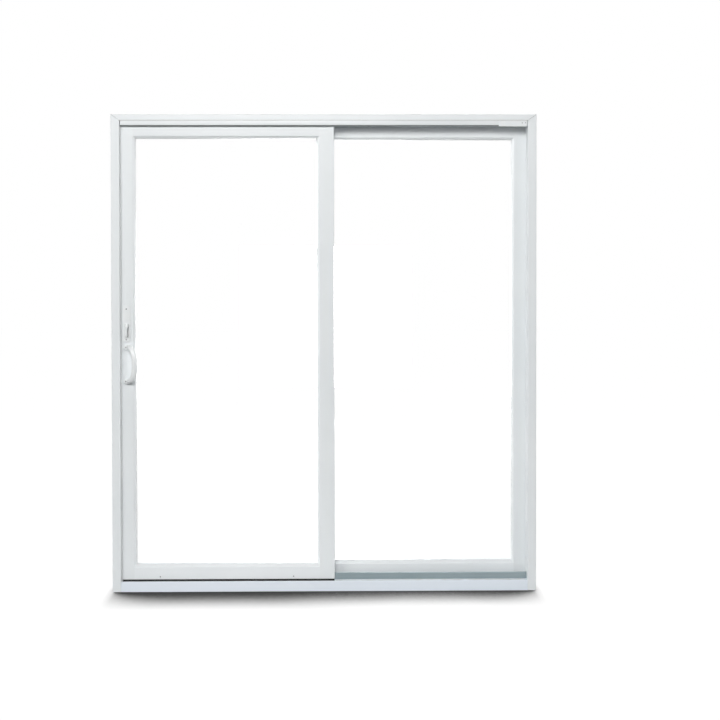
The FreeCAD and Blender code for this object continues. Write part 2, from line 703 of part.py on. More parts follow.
def thumb_latch():
    body = new_body("thumb_latch", handle_x, f"{slide_front} - {size('latch_plate_thick')}", latch_z)
    hub = new_sketch(body, "hub", "XZ_Plane", size("latch_clear"))
    circle(hub, "0", "0", size("latch_hub"))
    pad(body, hub, f"{size('latch_hub_thick')} - {size('latch_clear')}")
    lever_back = f"{size('latch_hub_thick')} - {size('latch_lever_thick')}"
    lever = new_sketch(body, "lever", "XZ_Plane", lever_back)
    root = size("latch_lever_root")
    tip = size("latch_lever_tip")
    length = size("latch_lever_length")
    polygon(lever, [(f"-{root}", "0"), (root, "0"), (tip, f"-{length}"), (f"-{tip}", f"-{length}")])
    pad(body, lever, size("latch_lever_thick"))
    tips = [(tip, f"-{length}"), (f"-{tip}", f"-{length}")]
    fillet(body, edges_along(body.Tip, "Y", tips), size("latch_tip_round"))
    spindle = new_sketch(body, "spindle", "XZ_Plane", f"-{size('latch_spindle_length')}")
    circle(spindle, "0", "0", size("latch_spindle"))
    pad(body, spindle, f"{size('latch_spindle_length')} + {size('latch_clear')}")


def line(sketch, begin, end):
    ends = [FreeCAD.Vector(u, v, 0) for u, v in (begin, end)]
    return sketch.addGeometry(Part.LineSegment(*ends), False)


def arc(sketch, middle, radius, begin, end):
    ring = Part.Circle(FreeCAD.Vector(*middle, 0), FreeCAD.Vector(0, 0, 1), radius)
    return sketch.addGeometry(Part.ArcOfCircle(ring, begin, end), False)


def tangent(sketch, joins):
    for one, end, other, begin in joins:
        sketch.addConstraint(Sketcher.Constraint("Tangent", one, end, other, begin))


def radius_of(sketch, index, expression):
    bound = sketch.addConstraint(Sketcher.Constraint("Radius", index, number(expression)))
    sketch.setExpression("Constraints[%d]" % bound, expression)


def stadium(sketch, length, width, high="0"):
    # an outline with half round ends, long in the sketch's x
    run = f"(({length} - {width}) / 2)"
    radius = f"({width} / 2)"
    a = number(run)
    r = number(radius)
    z = number(high)
    upper = line(sketch, (a, z + r), (-a, z + r))
    left = arc(sketch, (-a, z), r, QUARTER_TURN, 3 * QUARTER_TURN)
    lower = line(sketch, (-a, z - r), (a, z - r))
    right = arc(sketch, (a, z), r, -QUARTER_TURN, QUARTER_TURN)
    tangent(sketch, [(upper, 2, left, 1), (left, 2, lower, 1), (lower, 2, right, 1), (right, 2, upper, 1)])
    hold(sketch, "DistanceY", left, 3, high)
    hold(sketch, "DistanceY", right, 3, high)
    hold(sketch, "DistanceX", left, 3, f"-{run}")
    hold(sketch, "DistanceX", right, 3, run)
    radius_of(sketch, left, radius)


def bevelled_bar(sketch, width, thick, bevel):
    # a bar section with four bevelled edges, long in the sketch's x
    half = f"({width} / 2)"
    half_in = f"({width} / 2 - {bevel})"
    high = f"({thick} / 2)"
    high_in = f"({thick} / 2 - {bevel})"
    polygon(sketch, [
        (half, f"-{high_in}"), (half, high_in), (half_in, high), (f"-{half_in}", high),
        (f"-{half}", high_in), (f"-{half}", f"-{high_in}"),
        (f"-{half_in}", f"-{high}"), (half_in, f"-{high}"),
    ])


def bow_path(sketch, root, pitch, reach, bend):
    # two legs and a grip joined by tangent bends
    start = -number(root)
    half = number(pitch) / 2
    far = number(reach)
    r = number(bend)
    leg_high = line(sketch, (start, half), (far - r, half))
    bend_high = arc(sketch, (far - r, half - r), r, 0, QUARTER_TURN)
    grip = line(sketch, (far, half - r), (far, r - half))
    bend_low = arc(sketch, (far - r, r - half), r, -QUARTER_TURN, 0)
    leg_low = line(sketch, (far - r, -half), (start, -half))
    tangent(sketch, [
        (leg_high, 2, bend_high, 2), (bend_high, 1, grip, 1),
        (grip, 2, bend_low, 2), (bend_low, 1, leg_low, 1),
    ])
    sketch.addConstraint(Sketcher.Constraint("Horizontal", leg_high))
    sketch.addConstraint(Sketcher.Constraint("Horizontal", leg_low))
    sketch.addConstraint(Sketcher.Constraint("Vertical", grip))
    behind = "0" if root == "0" else f"-{root}"
    hold(sketch, "DistanceX", leg_high, 1, behind)
    hold(sketch, "DistanceX", leg_low, 2, behind)
    hold(sketch, "DistanceY", leg_high, 1, f"({pitch} / 2)")
    hold(sketch, "DistanceY", leg_low, 2, f"(-{pitch} / 2)")
    hold(sketch, "DistanceX", grip, 1, reach)
    radius_of(sketch, bend_high, bend)
    radius_of(sketch, bend_low, bend)


def lean_sketch(body, name, role, angle):
    # a sketch turned about the upright axis of its plane
    sketch = new_sketch(body, name, role)
    turn = FreeCAD.Rotation(FreeCAD.Vector(0, 1, 0), number(angle))
    sketch.AttachmentOffset = FreeCAD.Placement(FreeCAD.Vector(), turn)
    sketch.setExpression("AttachmentOffset.Rotation.Angle", angle)
    return sketch


def bow_pull(label, x, y, angle, root, pitch, reach, bend):
    # the body, path and empty section of a pull that is swept along its bow
    body = new_body(label, x, y, pull_z)
    path = lean_sketch(body, "path", "XZ_Plane", angle)
    bow_path(path, root, pitch, reach, bend)
    section = lean_sketch(body, "section", "YZ_Plane", angle)
    section.setExpression("AttachmentOffset.Base.x", f"{root} * sin(-{angle})")
    section.setExpression("AttachmentOffset.Base.y", f"{pitch} / 2")
    section.setExpression("AttachmentOffset.Base.z", f"-{root} * cos({angle})")
    return body, path, section


def sweep(body, section, path):
    doc.recompute()
    bar = body.newObject("PartDesign::AdditivePipe", body.Name + "_bar")
    bar.Profile = section
    bar.Spine = (path, ["Edge%d" % k for k in range(1, path.GeometryCount + 1)])
    doc.recompute()


def room_pull():
    pitch = size("pull_pitch")
    body, path, section = bow_pull("pull_handle", pull_x, slide_front, f"-{size('pull_lean')}",
                                   size("pull_root"), pitch, size("pull_reach"), size("pull_bend"))
    stadium(section, size("pull_width"), size("pull_thick"))
    sweep(body, section, path)
    reach = f"({size('pull_width')} + {size('pull_reach')})"
    height = f"({pitch} / 2 + {size('pull_width')})"
    trim = new_sketch(body, "trim", "XZ_Plane")
    rectangle(trim, f"-{reach}", f"-{height}", reach, height)
    pocket(body, trim, size("pull_reach"))
    feet = new_sketch(body, "feet", "XZ_Plane")
    for high in (f"({pitch} / 2)", f"(-{pitch} / 2)"):
        stadium(feet, size("pull_foot_length"), size("pull_foot_width"), high)
    pad(body, feet, size("pull_foot_thick"))


def outer_pull():
    body, path, section = bow_pull("outer_pull", outer_pull_x, slide_back, "90", "0",
                                   size("outer_pull_pitch"), size("outer_pull_reach"),
                                   size("outer_pull_bend"))
    bevelled_bar(section, size("outer_pull_width"), size("outer_pull_thick"), size("outer_pull_bevel"))
    sweep(body, section, path)


def sliding_panel():
    panel = Panel("sliding", slide_left, slide_front, size("lock_stile"), size("meeting_stile"))
    lock = stile("lock_stile", panel, panel.left, panel.stile_left, panel.day_left, "lock_reveal", True)
    plate = new_sketch(lock, "plate", "YZ_Plane", slide_left)
    rectangle(plate, lock_front, lock_low, lock_back, lock_high)
    pocket(lock, plate, size("lock_plate_thick"), backwards=True)
    hook = new_sketch(lock, "hook", "YZ_Plane", slide_left)
    rectangle(hook, hook_front, hook_low, hook_back, hook_high)
    pocket(lock, hook, size("lock_slot_depth"), backwards=True)
    stile("meeting_stile", panel, panel.right, panel.stile_right, panel.day_right, "meeting_reveal", True)
    rail_bar("sliding_top_rail", panel, panel.rail_high, panel_high, panel.rail_high, panel.day_high)
    foot = rail_bar("sliding_bottom_rail", panel, panel_low, panel.rail_low, panel.rail_low, panel.day_low)
    running_gear(foot)
    beads(panel)
    glazing(panel)


def fixed_panel():
    panel = Panel("fixed", fixed_left, fixed_front, size("meeting_stile"), size("outer_stile"))
    stile("fixed_meeting_stile", panel, panel.left, panel.stile_left, panel.day_left, "meeting_reveal", False)
    stile("fixed_jamb_stile", panel, panel.right, panel.stile_right, panel.day_right, "lock_reveal", False)
    rail_bar("fixed_top_rail", panel, panel.rail_high, panel_high, panel.rail_high, panel.day_high)
    rail_bar("fixed_bottom_rail", panel, panel_low, panel.rail_low, panel.rail_low, panel.day_low)
    beads(panel)
    glazing(panel)


head_jamb()
lock_jamb()
fixed_jamb()
sill()
roller_rail()
head_stop()
head_clip()
open_stop()
lock_plate("strike_plate", f"-{inner_half}", -1)
seal("lock_jamb_seal", f"(-{inner_half} + {size('side_clear')})",
     f"({stop_front} - {size('seal_thick')})", stop_front, panel_low, head_drip_low)
fixed_panel()
seal("middle_seal", f"({fixed_left} + {size('seal_inset')})", leg_front, fixed_front,
     panel_low, head_low)
sliding_panel()
lock_plate("lock_faceplate", slide_left, 1)
latch_plate()
room_pull()
outer_pull()
thumb_latch()
doc.recompute()

faults = [o.Name for o in doc.Objects if "Invalid" in o.State or "Error" in o.State]
bodies = [o for o in doc.Objects if o.TypeId == "PartDesign::Body"]
faults += [b.Label for b in bodies if b.Shape.isNull() or not b.Shape.isValid()]
if faults:
    raise RuntimeError("these did not build: " + ", ".join(faults))

os.makedirs("parts", exist_ok=True)
for body in bodies:
    body.Shape.exportStep("parts/%s.step" % body.Label)
    box = body.Shape.BoundBox
    print("%-22s solids %d volume %12.1f  x %8.1f %8.1f  y %7.1f %7.1f  z %8.1f %8.1f" % (
        body.Label, len(body.Shape.Solids), body.Shape.Volume,
        box.XMin, box.XMax, box.YMin, box.YMax, box.ZMin, box.ZMax))
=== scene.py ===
import json
import math

import bmesh
import bpy
from mathutils import Matrix, Vector, noise


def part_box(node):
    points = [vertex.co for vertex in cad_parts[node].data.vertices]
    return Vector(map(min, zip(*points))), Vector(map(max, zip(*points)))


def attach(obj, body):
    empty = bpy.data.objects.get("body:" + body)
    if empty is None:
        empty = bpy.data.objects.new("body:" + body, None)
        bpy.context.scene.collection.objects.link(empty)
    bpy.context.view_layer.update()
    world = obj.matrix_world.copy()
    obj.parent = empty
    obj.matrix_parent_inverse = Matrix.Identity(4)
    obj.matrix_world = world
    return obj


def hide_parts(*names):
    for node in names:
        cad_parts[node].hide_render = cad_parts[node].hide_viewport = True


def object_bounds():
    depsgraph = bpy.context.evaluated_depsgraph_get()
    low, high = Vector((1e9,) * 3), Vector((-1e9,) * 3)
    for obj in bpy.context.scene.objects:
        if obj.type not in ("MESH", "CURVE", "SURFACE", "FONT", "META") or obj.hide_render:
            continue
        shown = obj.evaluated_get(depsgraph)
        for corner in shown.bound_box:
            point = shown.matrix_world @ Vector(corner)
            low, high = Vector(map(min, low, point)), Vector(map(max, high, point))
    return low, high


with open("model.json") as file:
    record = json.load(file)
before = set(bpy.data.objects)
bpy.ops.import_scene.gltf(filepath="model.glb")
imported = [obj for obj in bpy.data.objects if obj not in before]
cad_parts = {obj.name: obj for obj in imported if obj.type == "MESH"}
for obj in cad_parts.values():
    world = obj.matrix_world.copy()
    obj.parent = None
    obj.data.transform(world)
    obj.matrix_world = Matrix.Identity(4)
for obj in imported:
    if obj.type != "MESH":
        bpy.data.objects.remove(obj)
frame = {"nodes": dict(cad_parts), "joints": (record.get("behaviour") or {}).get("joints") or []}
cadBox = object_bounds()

scene = bpy.context.scene
scene.view_settings.view_transform = "Standard"
print("frame loaded,", len(frame["nodes"]), "nodes")


# camera at the photo's place: metres, degrees, shift in frame widths
viewpoint = {
    "place": (0.0111, -5.1567, 1.291), "yaw": 0.696, "pitch": 0.949, "roll": -0.093,
    "lens": 60.3, "sensor": 36.0, "shift": (0.0256, -0.0737), "clip": 100.0,
}


def addCamera():
    lens = bpy.data.cameras.new("roomSideCamera")
    lens.lens = viewpoint["lens"]
    lens.sensor_width = viewpoint["sensor"]
    lens.shift_x, lens.shift_y = viewpoint["shift"]
    lens.clip_end = viewpoint["clip"]
    camera = bpy.data.objects.new("roomSideCamera", lens)
    turn = (
        Matrix.Rotation(math.radians(-viewpoint["yaw"]), 4, "Z")
        @ Matrix.Rotation(math.radians(90.0 - viewpoint["pitch"]), 4, "X")
        @ Matrix.Rotation(math.radians(viewpoint["roll"]), 4, "Z")
    )
    camera.matrix_world = Matrix.Translation(viewpoint["place"]) @ turn
    scene.collection.objects.link(camera)
    scene.camera = camera


addCamera()
print("camera placed")


# soft studio: a lamp high in front, a broad one at each side, one behind, and weak fill
studio = {
    "lamps": {
        "frontLamp": {"place": (-0.5, -5.3, 4.05), "size": (2.4, 1.8), "watts": 199},
        "leftLamp": {"place": (-8.0, -8.0, 3.9), "size": (5.0, 4.0), "watts": 408},
        "rightLamp": {"place": (8.0, -8.0, 3.9), "size": (5.0, 4.0), "watts": 230},
        "backLamp": {"place": (0.0, 6.8, 1.0), "size": (1.7, 1.4), "watts": 290},
    },
    "aim": (0.0, 0.0, 1.1), "tint": (1.0, 0.995, 0.985),
    "roomFill": (0.86, 0.95, 1.0), "fillStrength": 0.008,
}
# white floor with a painted shadow: its glow is darkened by ambient occlusion close in front of the door
# a pale sheet close in front bounces light up, the floor beyond it and behind the door little
ground = {
    "reach": 30.0, "sheet": (0.52, 0.53, 0.54), "beyond": (0.06, 0.06, 0.06),
    "sheetMiddle": -0.55, "sheetEdge": (1.05, 0.45),
    "tone": (0.04, 0.04, 0.04), "rough": 0.9, "white": 1.0, "samples": 16,
    "shadowReach": 0.34, "shadowLean": (0.0, 0.8, 0.6), "shadowEnds": (0.925, 0.885),
    "shadow": [
        # how open the spot is, how white the floor is there
        (0.40, 0.02), (0.46, 0.09), (0.556, 0.325), (0.66, 0.58),
        (0.755, 0.765), (0.86, 0.935), (0.95, 1.0),
    ],
}


def addLamp(name, spec):
    lamp = bpy.data.lights.new(name, "AREA")
    lamp.shape = "RECTANGLE"
    lamp.size, lamp.size_y = spec["size"]
    lamp.energy = spec["watts"]
    lamp.color = studio["tint"]
    holder = bpy.data.objects.new(name, lamp)
    aim = Vector(studio["aim"]) - Vector(spec["place"])
    holder.location = spec["place"]
    holder.rotation_euler = aim.to_track_quat("-Z", "Y").to_euler()
    scene.collection.objects.link(holder)


def seenDirectly(nodes, links):
    # 1 for camera, glossy and transmission rays, which should meet plain white
    path = nodes.new("ShaderNodeLightPath")
    either = nodes.new("ShaderNodeMath")
    either.operation = "MAXIMUM"
    links.new(path.outputs["Is Camera Ray"], either.inputs[0])
    links.new(path.outputs["Is Glossy Ray"], either.inputs[1])
    anyOf = nodes.new("ShaderNodeMath")
    anyOf.operation = "MAXIMUM"
    links.new(either.outputs[0], anyOf.inputs[0])
    links.new(path.outputs["Is Transmission Ray"], anyOf.inputs[1])
    return anyOf.outputs[0]


def mixColour(nodes, links, factor, first, second):
    # first and second are colours or colour sockets
    mix = nodes.new("ShaderNodeMix")
    mix.data_type = "RGBA"
    links.new(factor, mix.inputs["Factor"])
    for socket, value in ((mix.inputs[6], first), (mix.inputs[7], second)):
        if isinstance(value, tuple):
            socket.default_value = (*value, 1.0)
        else:
            links.new(value, socket)
    return mix.outputs[2]


def spread(nodes, links, source, low, high, fromLow=0.3, fromHigh=0.7):
    # maps a value onto a range, by default from where noise mostly lies
    node = nodes.new("ShaderNodeMapRange")
    node.inputs["From Min"].default_value = fromLow
    node.inputs["From Max"].default_value = fromHigh
    node.inputs["To Min"].default_value = low
    node.inputs["To Max"].default_value = high
    links.new(source, node.inputs["Value"])
    return node.outputs["Result"]


def addStudio():
    for name, spec in studio["lamps"].items():
        addLamp(name, spec)
    world = bpy.data.worlds.new("paleRoom")
    scene.world = world
    world.use_nodes = True
    nodes = world.node_tree.nodes
    links = world.node_tree.links
    fill = nodes["Background"]
    fill.inputs["Color"].default_value = (*studio["roomFill"], 1.0)
    fill.inputs["Strength"].default_value = studio["fillStrength"]
    white = nodes.new("ShaderNodeBackground")
    white.inputs["Color"].default_value = (1.0, 1.0, 1.0, 1.0)
    white.inputs["Strength"].default_value = 1.0
    choose = nodes.new("ShaderNodeMixShader")
    links.new(seenDirectly(nodes, links), choose.inputs[0])
    links.new(fill.outputs[0], choose.inputs[1])
    links.new(white.outputs[0], choose.inputs[2])
    links.new(choose.outputs[0], nodes["World Output"].inputs["Surface"])


def addFloor():
    paint = bpy.data.materials.new("paleFloor")
    paint.use_nodes = True
    nodes = paint.node_tree.nodes
    links = paint.node_tree.links
    seen = nodes["Principled BSDF"]
    seen.inputs["Base Color"].default_value = (*ground["tone"], 1.0)
    seen.inputs["Roughness"].default_value = ground["rough"]
    seen.inputs["Specular IOR Level"].default_value = 0.0
    lean = nodes.new("ShaderNodeCombineXYZ")
    for socket, value in zip(lean.inputs, ground["shadowLean"]):
        socket.default_value = value
    near = nodes.new("ShaderNodeAmbientOcclusion")
    near.samples = ground["samples"]
    near.inputs["Distance"].default_value = ground["shadowReach"]
    links.new(lean.outputs[0], near.inputs["Normal"])
    fade = nodes.new("ShaderNodeValToRGB")
    stops = fade.color_ramp.elements
    while len(stops) < len(ground["shadow"]):
        stops.new(0.5)
    for stop, (openShare, shade) in zip(stops, ground["shadow"]):
        stop.position = openShare
        stop.color = (shade, shade, shade, 1.0)
    links.new(near.outputs["AO"], fade.inputs[0])
    coords = nodes.new("ShaderNodeTexCoord")
    parts = nodes.new("ShaderNodeSeparateXYZ")
    links.new(coords.outputs["Object"], parts.inputs[0])
    aside = nodes.new("ShaderNodeMath")
    aside.operation = "ABSOLUTE"
    links.new(parts.outputs["X"], aside.inputs[0])
    between = spread(nodes, links, aside.outputs[0], 0.0, 1.0, *ground["shadowEnds"])
    glow = nodes.new("ShaderNodeEmission")
    glow.inputs["Strength"].default_value = ground["white"]
    # painted shadow: the occlusion ramp sets the glow's colour, faded out beyond the door's ends
    paintedShadowTone = mixColour(nodes, links, between, (1.0, 1.0, 1.0), fade.outputs[0])
    links.new(paintedShadowTone, glow.inputs["Color"])
    white = nodes.new("ShaderNodeAddShader")
    links.new(seen.outputs[0], white.inputs[0])
    links.new(glow.outputs[0], white.inputs[1])
    apart = nodes.new("ShaderNodeMath")
    apart.operation = "SUBTRACT"
    apart.inputs[1].default_value = ground["sheetMiddle"]
    links.new(parts.outputs["Y"], apart.inputs[0])
    eitherWay = nodes.new("ShaderNodeMath")
    eitherWay.operation = "ABSOLUTE"
    links.new(apart.outputs[0], eitherWay.inputs[0])
    sheet = spread(nodes, links, eitherWay.outputs[0], 0.0, 1.0, *ground["sheetEdge"])
    bounce = nodes.new("ShaderNodeBsdfDiffuse")
    tone = mixColour(nodes, links, sheet, ground["beyond"], ground["sheet"])
    links.new(tone, bounce.inputs["Color"])
    choose = nodes.new("ShaderNodeMixShader")
    links.new(seenDirectly(nodes, links), choose.inputs[0])
    links.new(bounce.outputs[0], choose.inputs[1])
    links.new(white.outputs[0], choose.inputs[2])
    links.new(choose.outputs[0], nodes["Material Output"].inputs["Surface"])
    bm = bmesh.new()
    bmesh.ops.create_grid(bm, x_segments=2, y_segments=2, size=ground["reach"])
    mesh = bpy.data.meshes.new("floor")
    bm.to_mesh(mesh)
    bm.free()
    floor = bpy.data.objects.new("floor", mesh)
    floor.data.materials.append(paint)
    scene.collection.objects.link(floor)


addStudio()
addFloor()
print("studio lit")


# shared effects: grain, drawn streaks and dust, each a node group; on the sill the dust is set strong as
# painted shade
effects = {
    "grainDetail": 3.0, "cloudDetail": 2.0, "streakDetail": 4.0, "dustAndShadeDetail": 5.0, "dustAndShadeFacing": 0.6,
}


def newGroup(name, inputs, outputs):
    group = bpy.data.node_groups.new(name, "ShaderNodeTree")
    for label, kind, value in inputs:
        socket = group.interface.new_socket(label, in_out="INPUT", socket_type=kind)
        socket.default_value = value
    for label in outputs:
        group.interface.new_socket(label, in_out="OUTPUT", socket_type="NodeSocketFloat")
    return group, group.nodes.new("NodeGroupInput"), group.nodes.new("NodeGroupOutput")


def grainGroup():
    # fine skin of a moulded or coated surface, and broad clouds of tone
    group, given, made = newGroup(
        "skinGrain",
        [("Grain Scale", "NodeSocketFloat", 900.0), ("Cloud Scale", "NodeSocketFloat", 3.0)],
        ["Grain", "Cloud"],
    )
    nodes, links = group.nodes, group.links
    coords = nodes.new("ShaderNodeTexCoord")
    for label, detail in (("Grain", effects["grainDetail"]), ("Cloud", effects["cloudDetail"])):
        texture = nodes.new("ShaderNodeTexNoise")
        texture.inputs["Detail"].default_value = detail
        links.new(coords.outputs["Object"], texture.inputs["Vector"])
        links.new(given.outputs[label + " Scale"], texture.inputs["Scale"])
        links.new(texture.outputs["Fac"], made.inputs[label])
    return group


def streakGroup():
    # faint lines drawn out along a bar's length
    group, given, made = newGroup(
        "drawnStreaks", [("Stretch", "NodeSocketVector", (1.0, 1.0, 1.0))], ["Streak"],
    )
    nodes, links = group.nodes, group.links
    coords = nodes.new("ShaderNodeTexCoord")
    stretch = nodes.new("ShaderNodeVectorMath")
    stretch.operation = "MULTIPLY"
    texture = nodes.new("ShaderNodeTexNoise")
    texture.inputs["Scale"].default_value = 1.0
    texture.inputs["Detail"].default_value = effects["streakDetail"]
    links.new(coords.outputs["Object"], stretch.inputs[0])
    links.new(given.outputs["Stretch"], stretch.inputs[1])
    links.new(stretch.outputs[0], texture.inputs["Vector"])
    links.new(texture.outputs["Fac"], made.inputs["Streak"])
    return group


def dustAndShadeGroup():
    # patchy dust on what faces up; where set strong it is painted shade on upward faces
    group, given, made = newGroup(
        "settledDustAndShade", [("Patch Scale", "NodeSocketFloat", 30.0)], ["Dust"],
    )
    nodes, links = group.nodes, group.links
    coords = nodes.new("ShaderNodeTexCoord")
    texture = nodes.new("ShaderNodeTexNoise")
    texture.inputs["Detail"].default_value = effects["dustAndShadeDetail"]
    facing = nodes.new("ShaderNodeNewGeometry")
    parts = nodes.new("ShaderNodeSeparateXYZ")
    upward = nodes.new("ShaderNodeMapRange")
    upward.inputs["From Min"].default_value = effects["dustAndShadeFacing"]
    patchy = nodes.new("ShaderNodeMath")
    patchy.operation = "MULTIPLY"
    links.new(coords.outputs["Object"], texture.inputs["Vector"])
    links.new(given.outputs["Patch Scale"], texture.inputs["Scale"])
    links.new(facing.outputs["Normal"], parts.inputs[0])
    links.new(parts.outputs["Z"], upward.inputs["Value"])
    links.new(upward.outputs["Result"], patchy.inputs[0])
    links.new(texture.outputs["Fac"], patchy.inputs[1])
    links.new(patchy.outputs[0], made.inputs["Dust"])
    return group


skinGrain = grainGroup()
drawnStreaks = streakGroup()
settledDustAndShade = dustAndShadeGroup()


def newMaterial(name):
    mat = bpy.data.materials.new(name)
    mat.use_nodes = True
    return mat, mat.node_tree.nodes, mat.node_tree.links, mat.node_tree.nodes["Principled BSDF"]


def place(nodes, group, **values):
    node = nodes.new("ShaderNodeGroup")
    node.node_tree = group
    for label, value in values.items():
        node.inputs[label.replace("_", " ")].default_value = value
    return node


def bump(nodes, links, shader, height, strength, distance):
    node = nodes.new("ShaderNodeBump")
    node.inputs["Strength"].default_value = strength
    node.inputs["Distance"].default_value = distance
    links.new(height, node.inputs["Height"])
    links.new(node.outputs["Normal"], shader.inputs["Normal"])


def addUp(nodes, links, first, second, share):
    # first + second * share
    node = nodes.new("ShaderNodeMath")
    node.operation = "MULTIPLY_ADD"
    node.inputs[1].default_value = share
    links.new(second, node.inputs[0])
    links.new(first, node.inputs[2])
    return node.outputs[0]


upright = (260.0, 260.0, 2.0)   # streaks along Z
level = (2.0, 260.0, 260.0)     # streaks along X

vinyl = {
    "bright": (0.825, 0.855, 0.870), "dull": (0.790, 0.825, 0.845), "dustAndShade": (0.56, 0.57, 0.57),
    "rough": (0.30, 0.42), "bump": 0.10, "depth": 0.0004, "ior": 1.5,
    "grain": 700.0, "grainShare": 0.5, "cloud": 2.5, "patch": 24.0, "dustAndShadeFrom": (0.2, 0.7),
}


def vinylMaterial(name, stretch, dustAndShadeShare=0.10, tint=(1.0, 1.0, 1.0)):
    mat, nodes, links, shader = newMaterial(name)
    skin = place(nodes, skinGrain, Grain_Scale=vinyl["grain"], Cloud_Scale=vinyl["cloud"])
    lines = place(nodes, drawnStreaks, Stretch=stretch)
    dustAndShade = place(nodes, settledDustAndShade, Patch_Scale=vinyl["patch"])
    bright = tuple(c * t for c, t in zip(vinyl["bright"], tint))
    dull = tuple(c * t for c, t in zip(vinyl["dull"], tint))
    cloud = spread(nodes, links, skin.outputs["Cloud"], 0.0, 1.0)
    clean = mixColour(nodes, links, cloud, bright, dull)
    dustAndShadeMask = spread(nodes, links, dustAndShade.outputs["Dust"], 0.0, dustAndShadeShare, *vinyl["dustAndShadeFrom"])
    links.new(mixColour(nodes, links, dustAndShadeMask, clean, vinyl["dustAndShade"]), shader.inputs["Base Color"])
    links.new(spread(nodes, links, lines.outputs["Streak"], *vinyl["rough"]), shader.inputs["Roughness"])
    height = addUp(nodes, links, lines.outputs["Streak"], skin.outputs["Grain"], vinyl["grainShare"])
    bump(nodes, links, shader, height, vinyl["bump"], vinyl["depth"])
    shader.inputs["IOR"].default_value = vinyl["ior"]
    return mat


# the tints make lit and shaded copies of the vinyl: painted light on the bottom rails and side beads,
# painted shade on the fixed stiles, top rails and end beads
frameUpright = vinylMaterial("frameVinylUpright", upright)
frameLevel = vinylMaterial("frameVinylLevel", level)
# the sill's strong dust is painted shade, darkening its ledge
sillVinyl = vinylMaterial("sillVinyl", level, dustAndShadeShare=0.9, tint=(0.98, 1.01, 1.07))
panelUpright = vinylMaterial("panelVinylUpright", upright, tint=(0.995, 0.995, 0.995))
fixedUprightShaded = vinylMaterial("fixedVinylUprightShaded", upright, tint=(0.97, 0.97, 0.97))
panelLevelShaded = vinylMaterial("panelVinylLevelShaded", level, tint=(0.97, 0.97, 0.97))
footVinylLit = vinylMaterial("panelVinylFootLit", level, tint=(1.03, 1.03, 1.035))
beadUprightLit = vinylMaterial("beadVinylUprightLit", upright, tint=(1.04, 1.04, 1.04))
beadLevelShaded = vinylMaterial("beadVinylLevelShaded", level, tint=(0.92, 0.92, 0.92))

# clear float glass, green only on its cut edges
pane = {
    "clear": (1.0, 1.0, 1.0), "edge": (0.35, 0.62, 0.50), "ior": 1.45,
    "smear": 0.012, "smearFrom": (0.45, 0.8), "grain": 60.0, "cloud": 4.0,
}


def glassMaterial(name):
    mat, nodes, links, shader = newMaterial(name)
    facing = nodes.new("ShaderNodeNewGeometry")
    parts = nodes.new("ShaderNodeSeparateXYZ")
    across = nodes.new("ShaderNodeMath")
    across.operation = "ABSOLUTE"
    links.new(facing.outputs["Normal"], parts.inputs[0])
    links.new(parts.outputs["Y"], across.inputs[0])
    tone = mixColour(nodes, links, across.outputs[0], pane["edge"], pane["clear"])
    links.new(tone, shader.inputs["Base Color"])
    skin = place(nodes, skinGrain, Grain_Scale=pane["grain"], Cloud_Scale=pane["cloud"])
    smear = spread(nodes, links, skin.outputs["Cloud"], 0.0, pane["smear"], *pane["smearFrom"])
    links.new(smear, shader.inputs["Roughness"])
    shader.inputs["Transmission Weight"].default_value = 1.0
    shader.inputs["IOR"].default_value = pane["ior"]
    # lamps shine through the panes
    path = nodes.new("ShaderNodeLightPath")
    through = nodes.new("ShaderNodeBsdfTransparent")
    choose = nodes.new("ShaderNodeMixShader")
    links.new(path.outputs["Is Shadow Ray"], choose.inputs[0])
    links.new(shader.outputs[0], choose.inputs[1])
    links.new(through.outputs[0], choose.inputs[2])
    links.new(choose.outputs[0], nodes["Material Output"].inputs["Surface"])
    return mat


clearGlass = glassMaterial("clearGlass")

metals = {
    "rail": {
        "light": (0.31, 0.37, 0.39), "dark": (0.25, 0.31, 0.33), "rough": (0.34, 0.48),
        "stretch": (3.0, 900.0, 900.0),
    },
    "lock": {
        "light": (0.62, 0.62, 0.61), "dark": (0.50, 0.50, 0.49), "rough": (0.24, 0.36),
        "stretch": (900.0, 900.0, 20.0),
    },
    "roller": {
        "light": (0.56, 0.55, 0.53), "dark": (0.40, 0.39, 0.37), "rough": (0.22, 0.40),
        "stretch": (300.0, 900.0, 300.0),
    },
    "spacer": {
        "light": (0.80, 0.81, 0.82), "dark": (0.72, 0.73, 0.74), "rough": (0.40, 0.52),
        "stretch": (200.0, 200.0, 200.0),
    },
    "screw": {
        "light": (0.30, 0.30, 0.31), "dark": (0.20, 0.20, 0.21), "rough": (0.30, 0.45),
        "stretch": (500.0, 500.0, 500.0),
    },
}
metalSkin = {
    "grain": 900.0, "cloud": 9.0, "cloudShare": 0.4, "shadeFrom": (0.5, 0.9), "bump": 0.15, "depth": 0.0003,
}


def metalMaterial(name, spec):
    mat, nodes, links, shader = newMaterial(name)
    lines = place(nodes, drawnStreaks, Stretch=spec["stretch"])
    skin = place(nodes, skinGrain, Grain_Scale=metalSkin["grain"], Cloud_Scale=metalSkin["cloud"])
    shade = addUp(nodes, links, lines.outputs["Streak"], skin.outputs["Cloud"], metalSkin["cloudShare"])
    factor = spread(nodes, links, shade, 0.0, 1.0, *metalSkin["shadeFrom"])
    links.new(mixColour(nodes, links, factor, spec["light"], spec["dark"]), shader.inputs["Base Color"])
    links.new(spread(nodes, links, lines.outputs["Streak"], *spec["rough"]), shader.inputs["Roughness"])
    bump(nodes, links, shader, lines.outputs["Streak"], metalSkin["bump"], metalSkin["depth"])
    shader.inputs["Metallic"].default_value = 1.0
    return mat


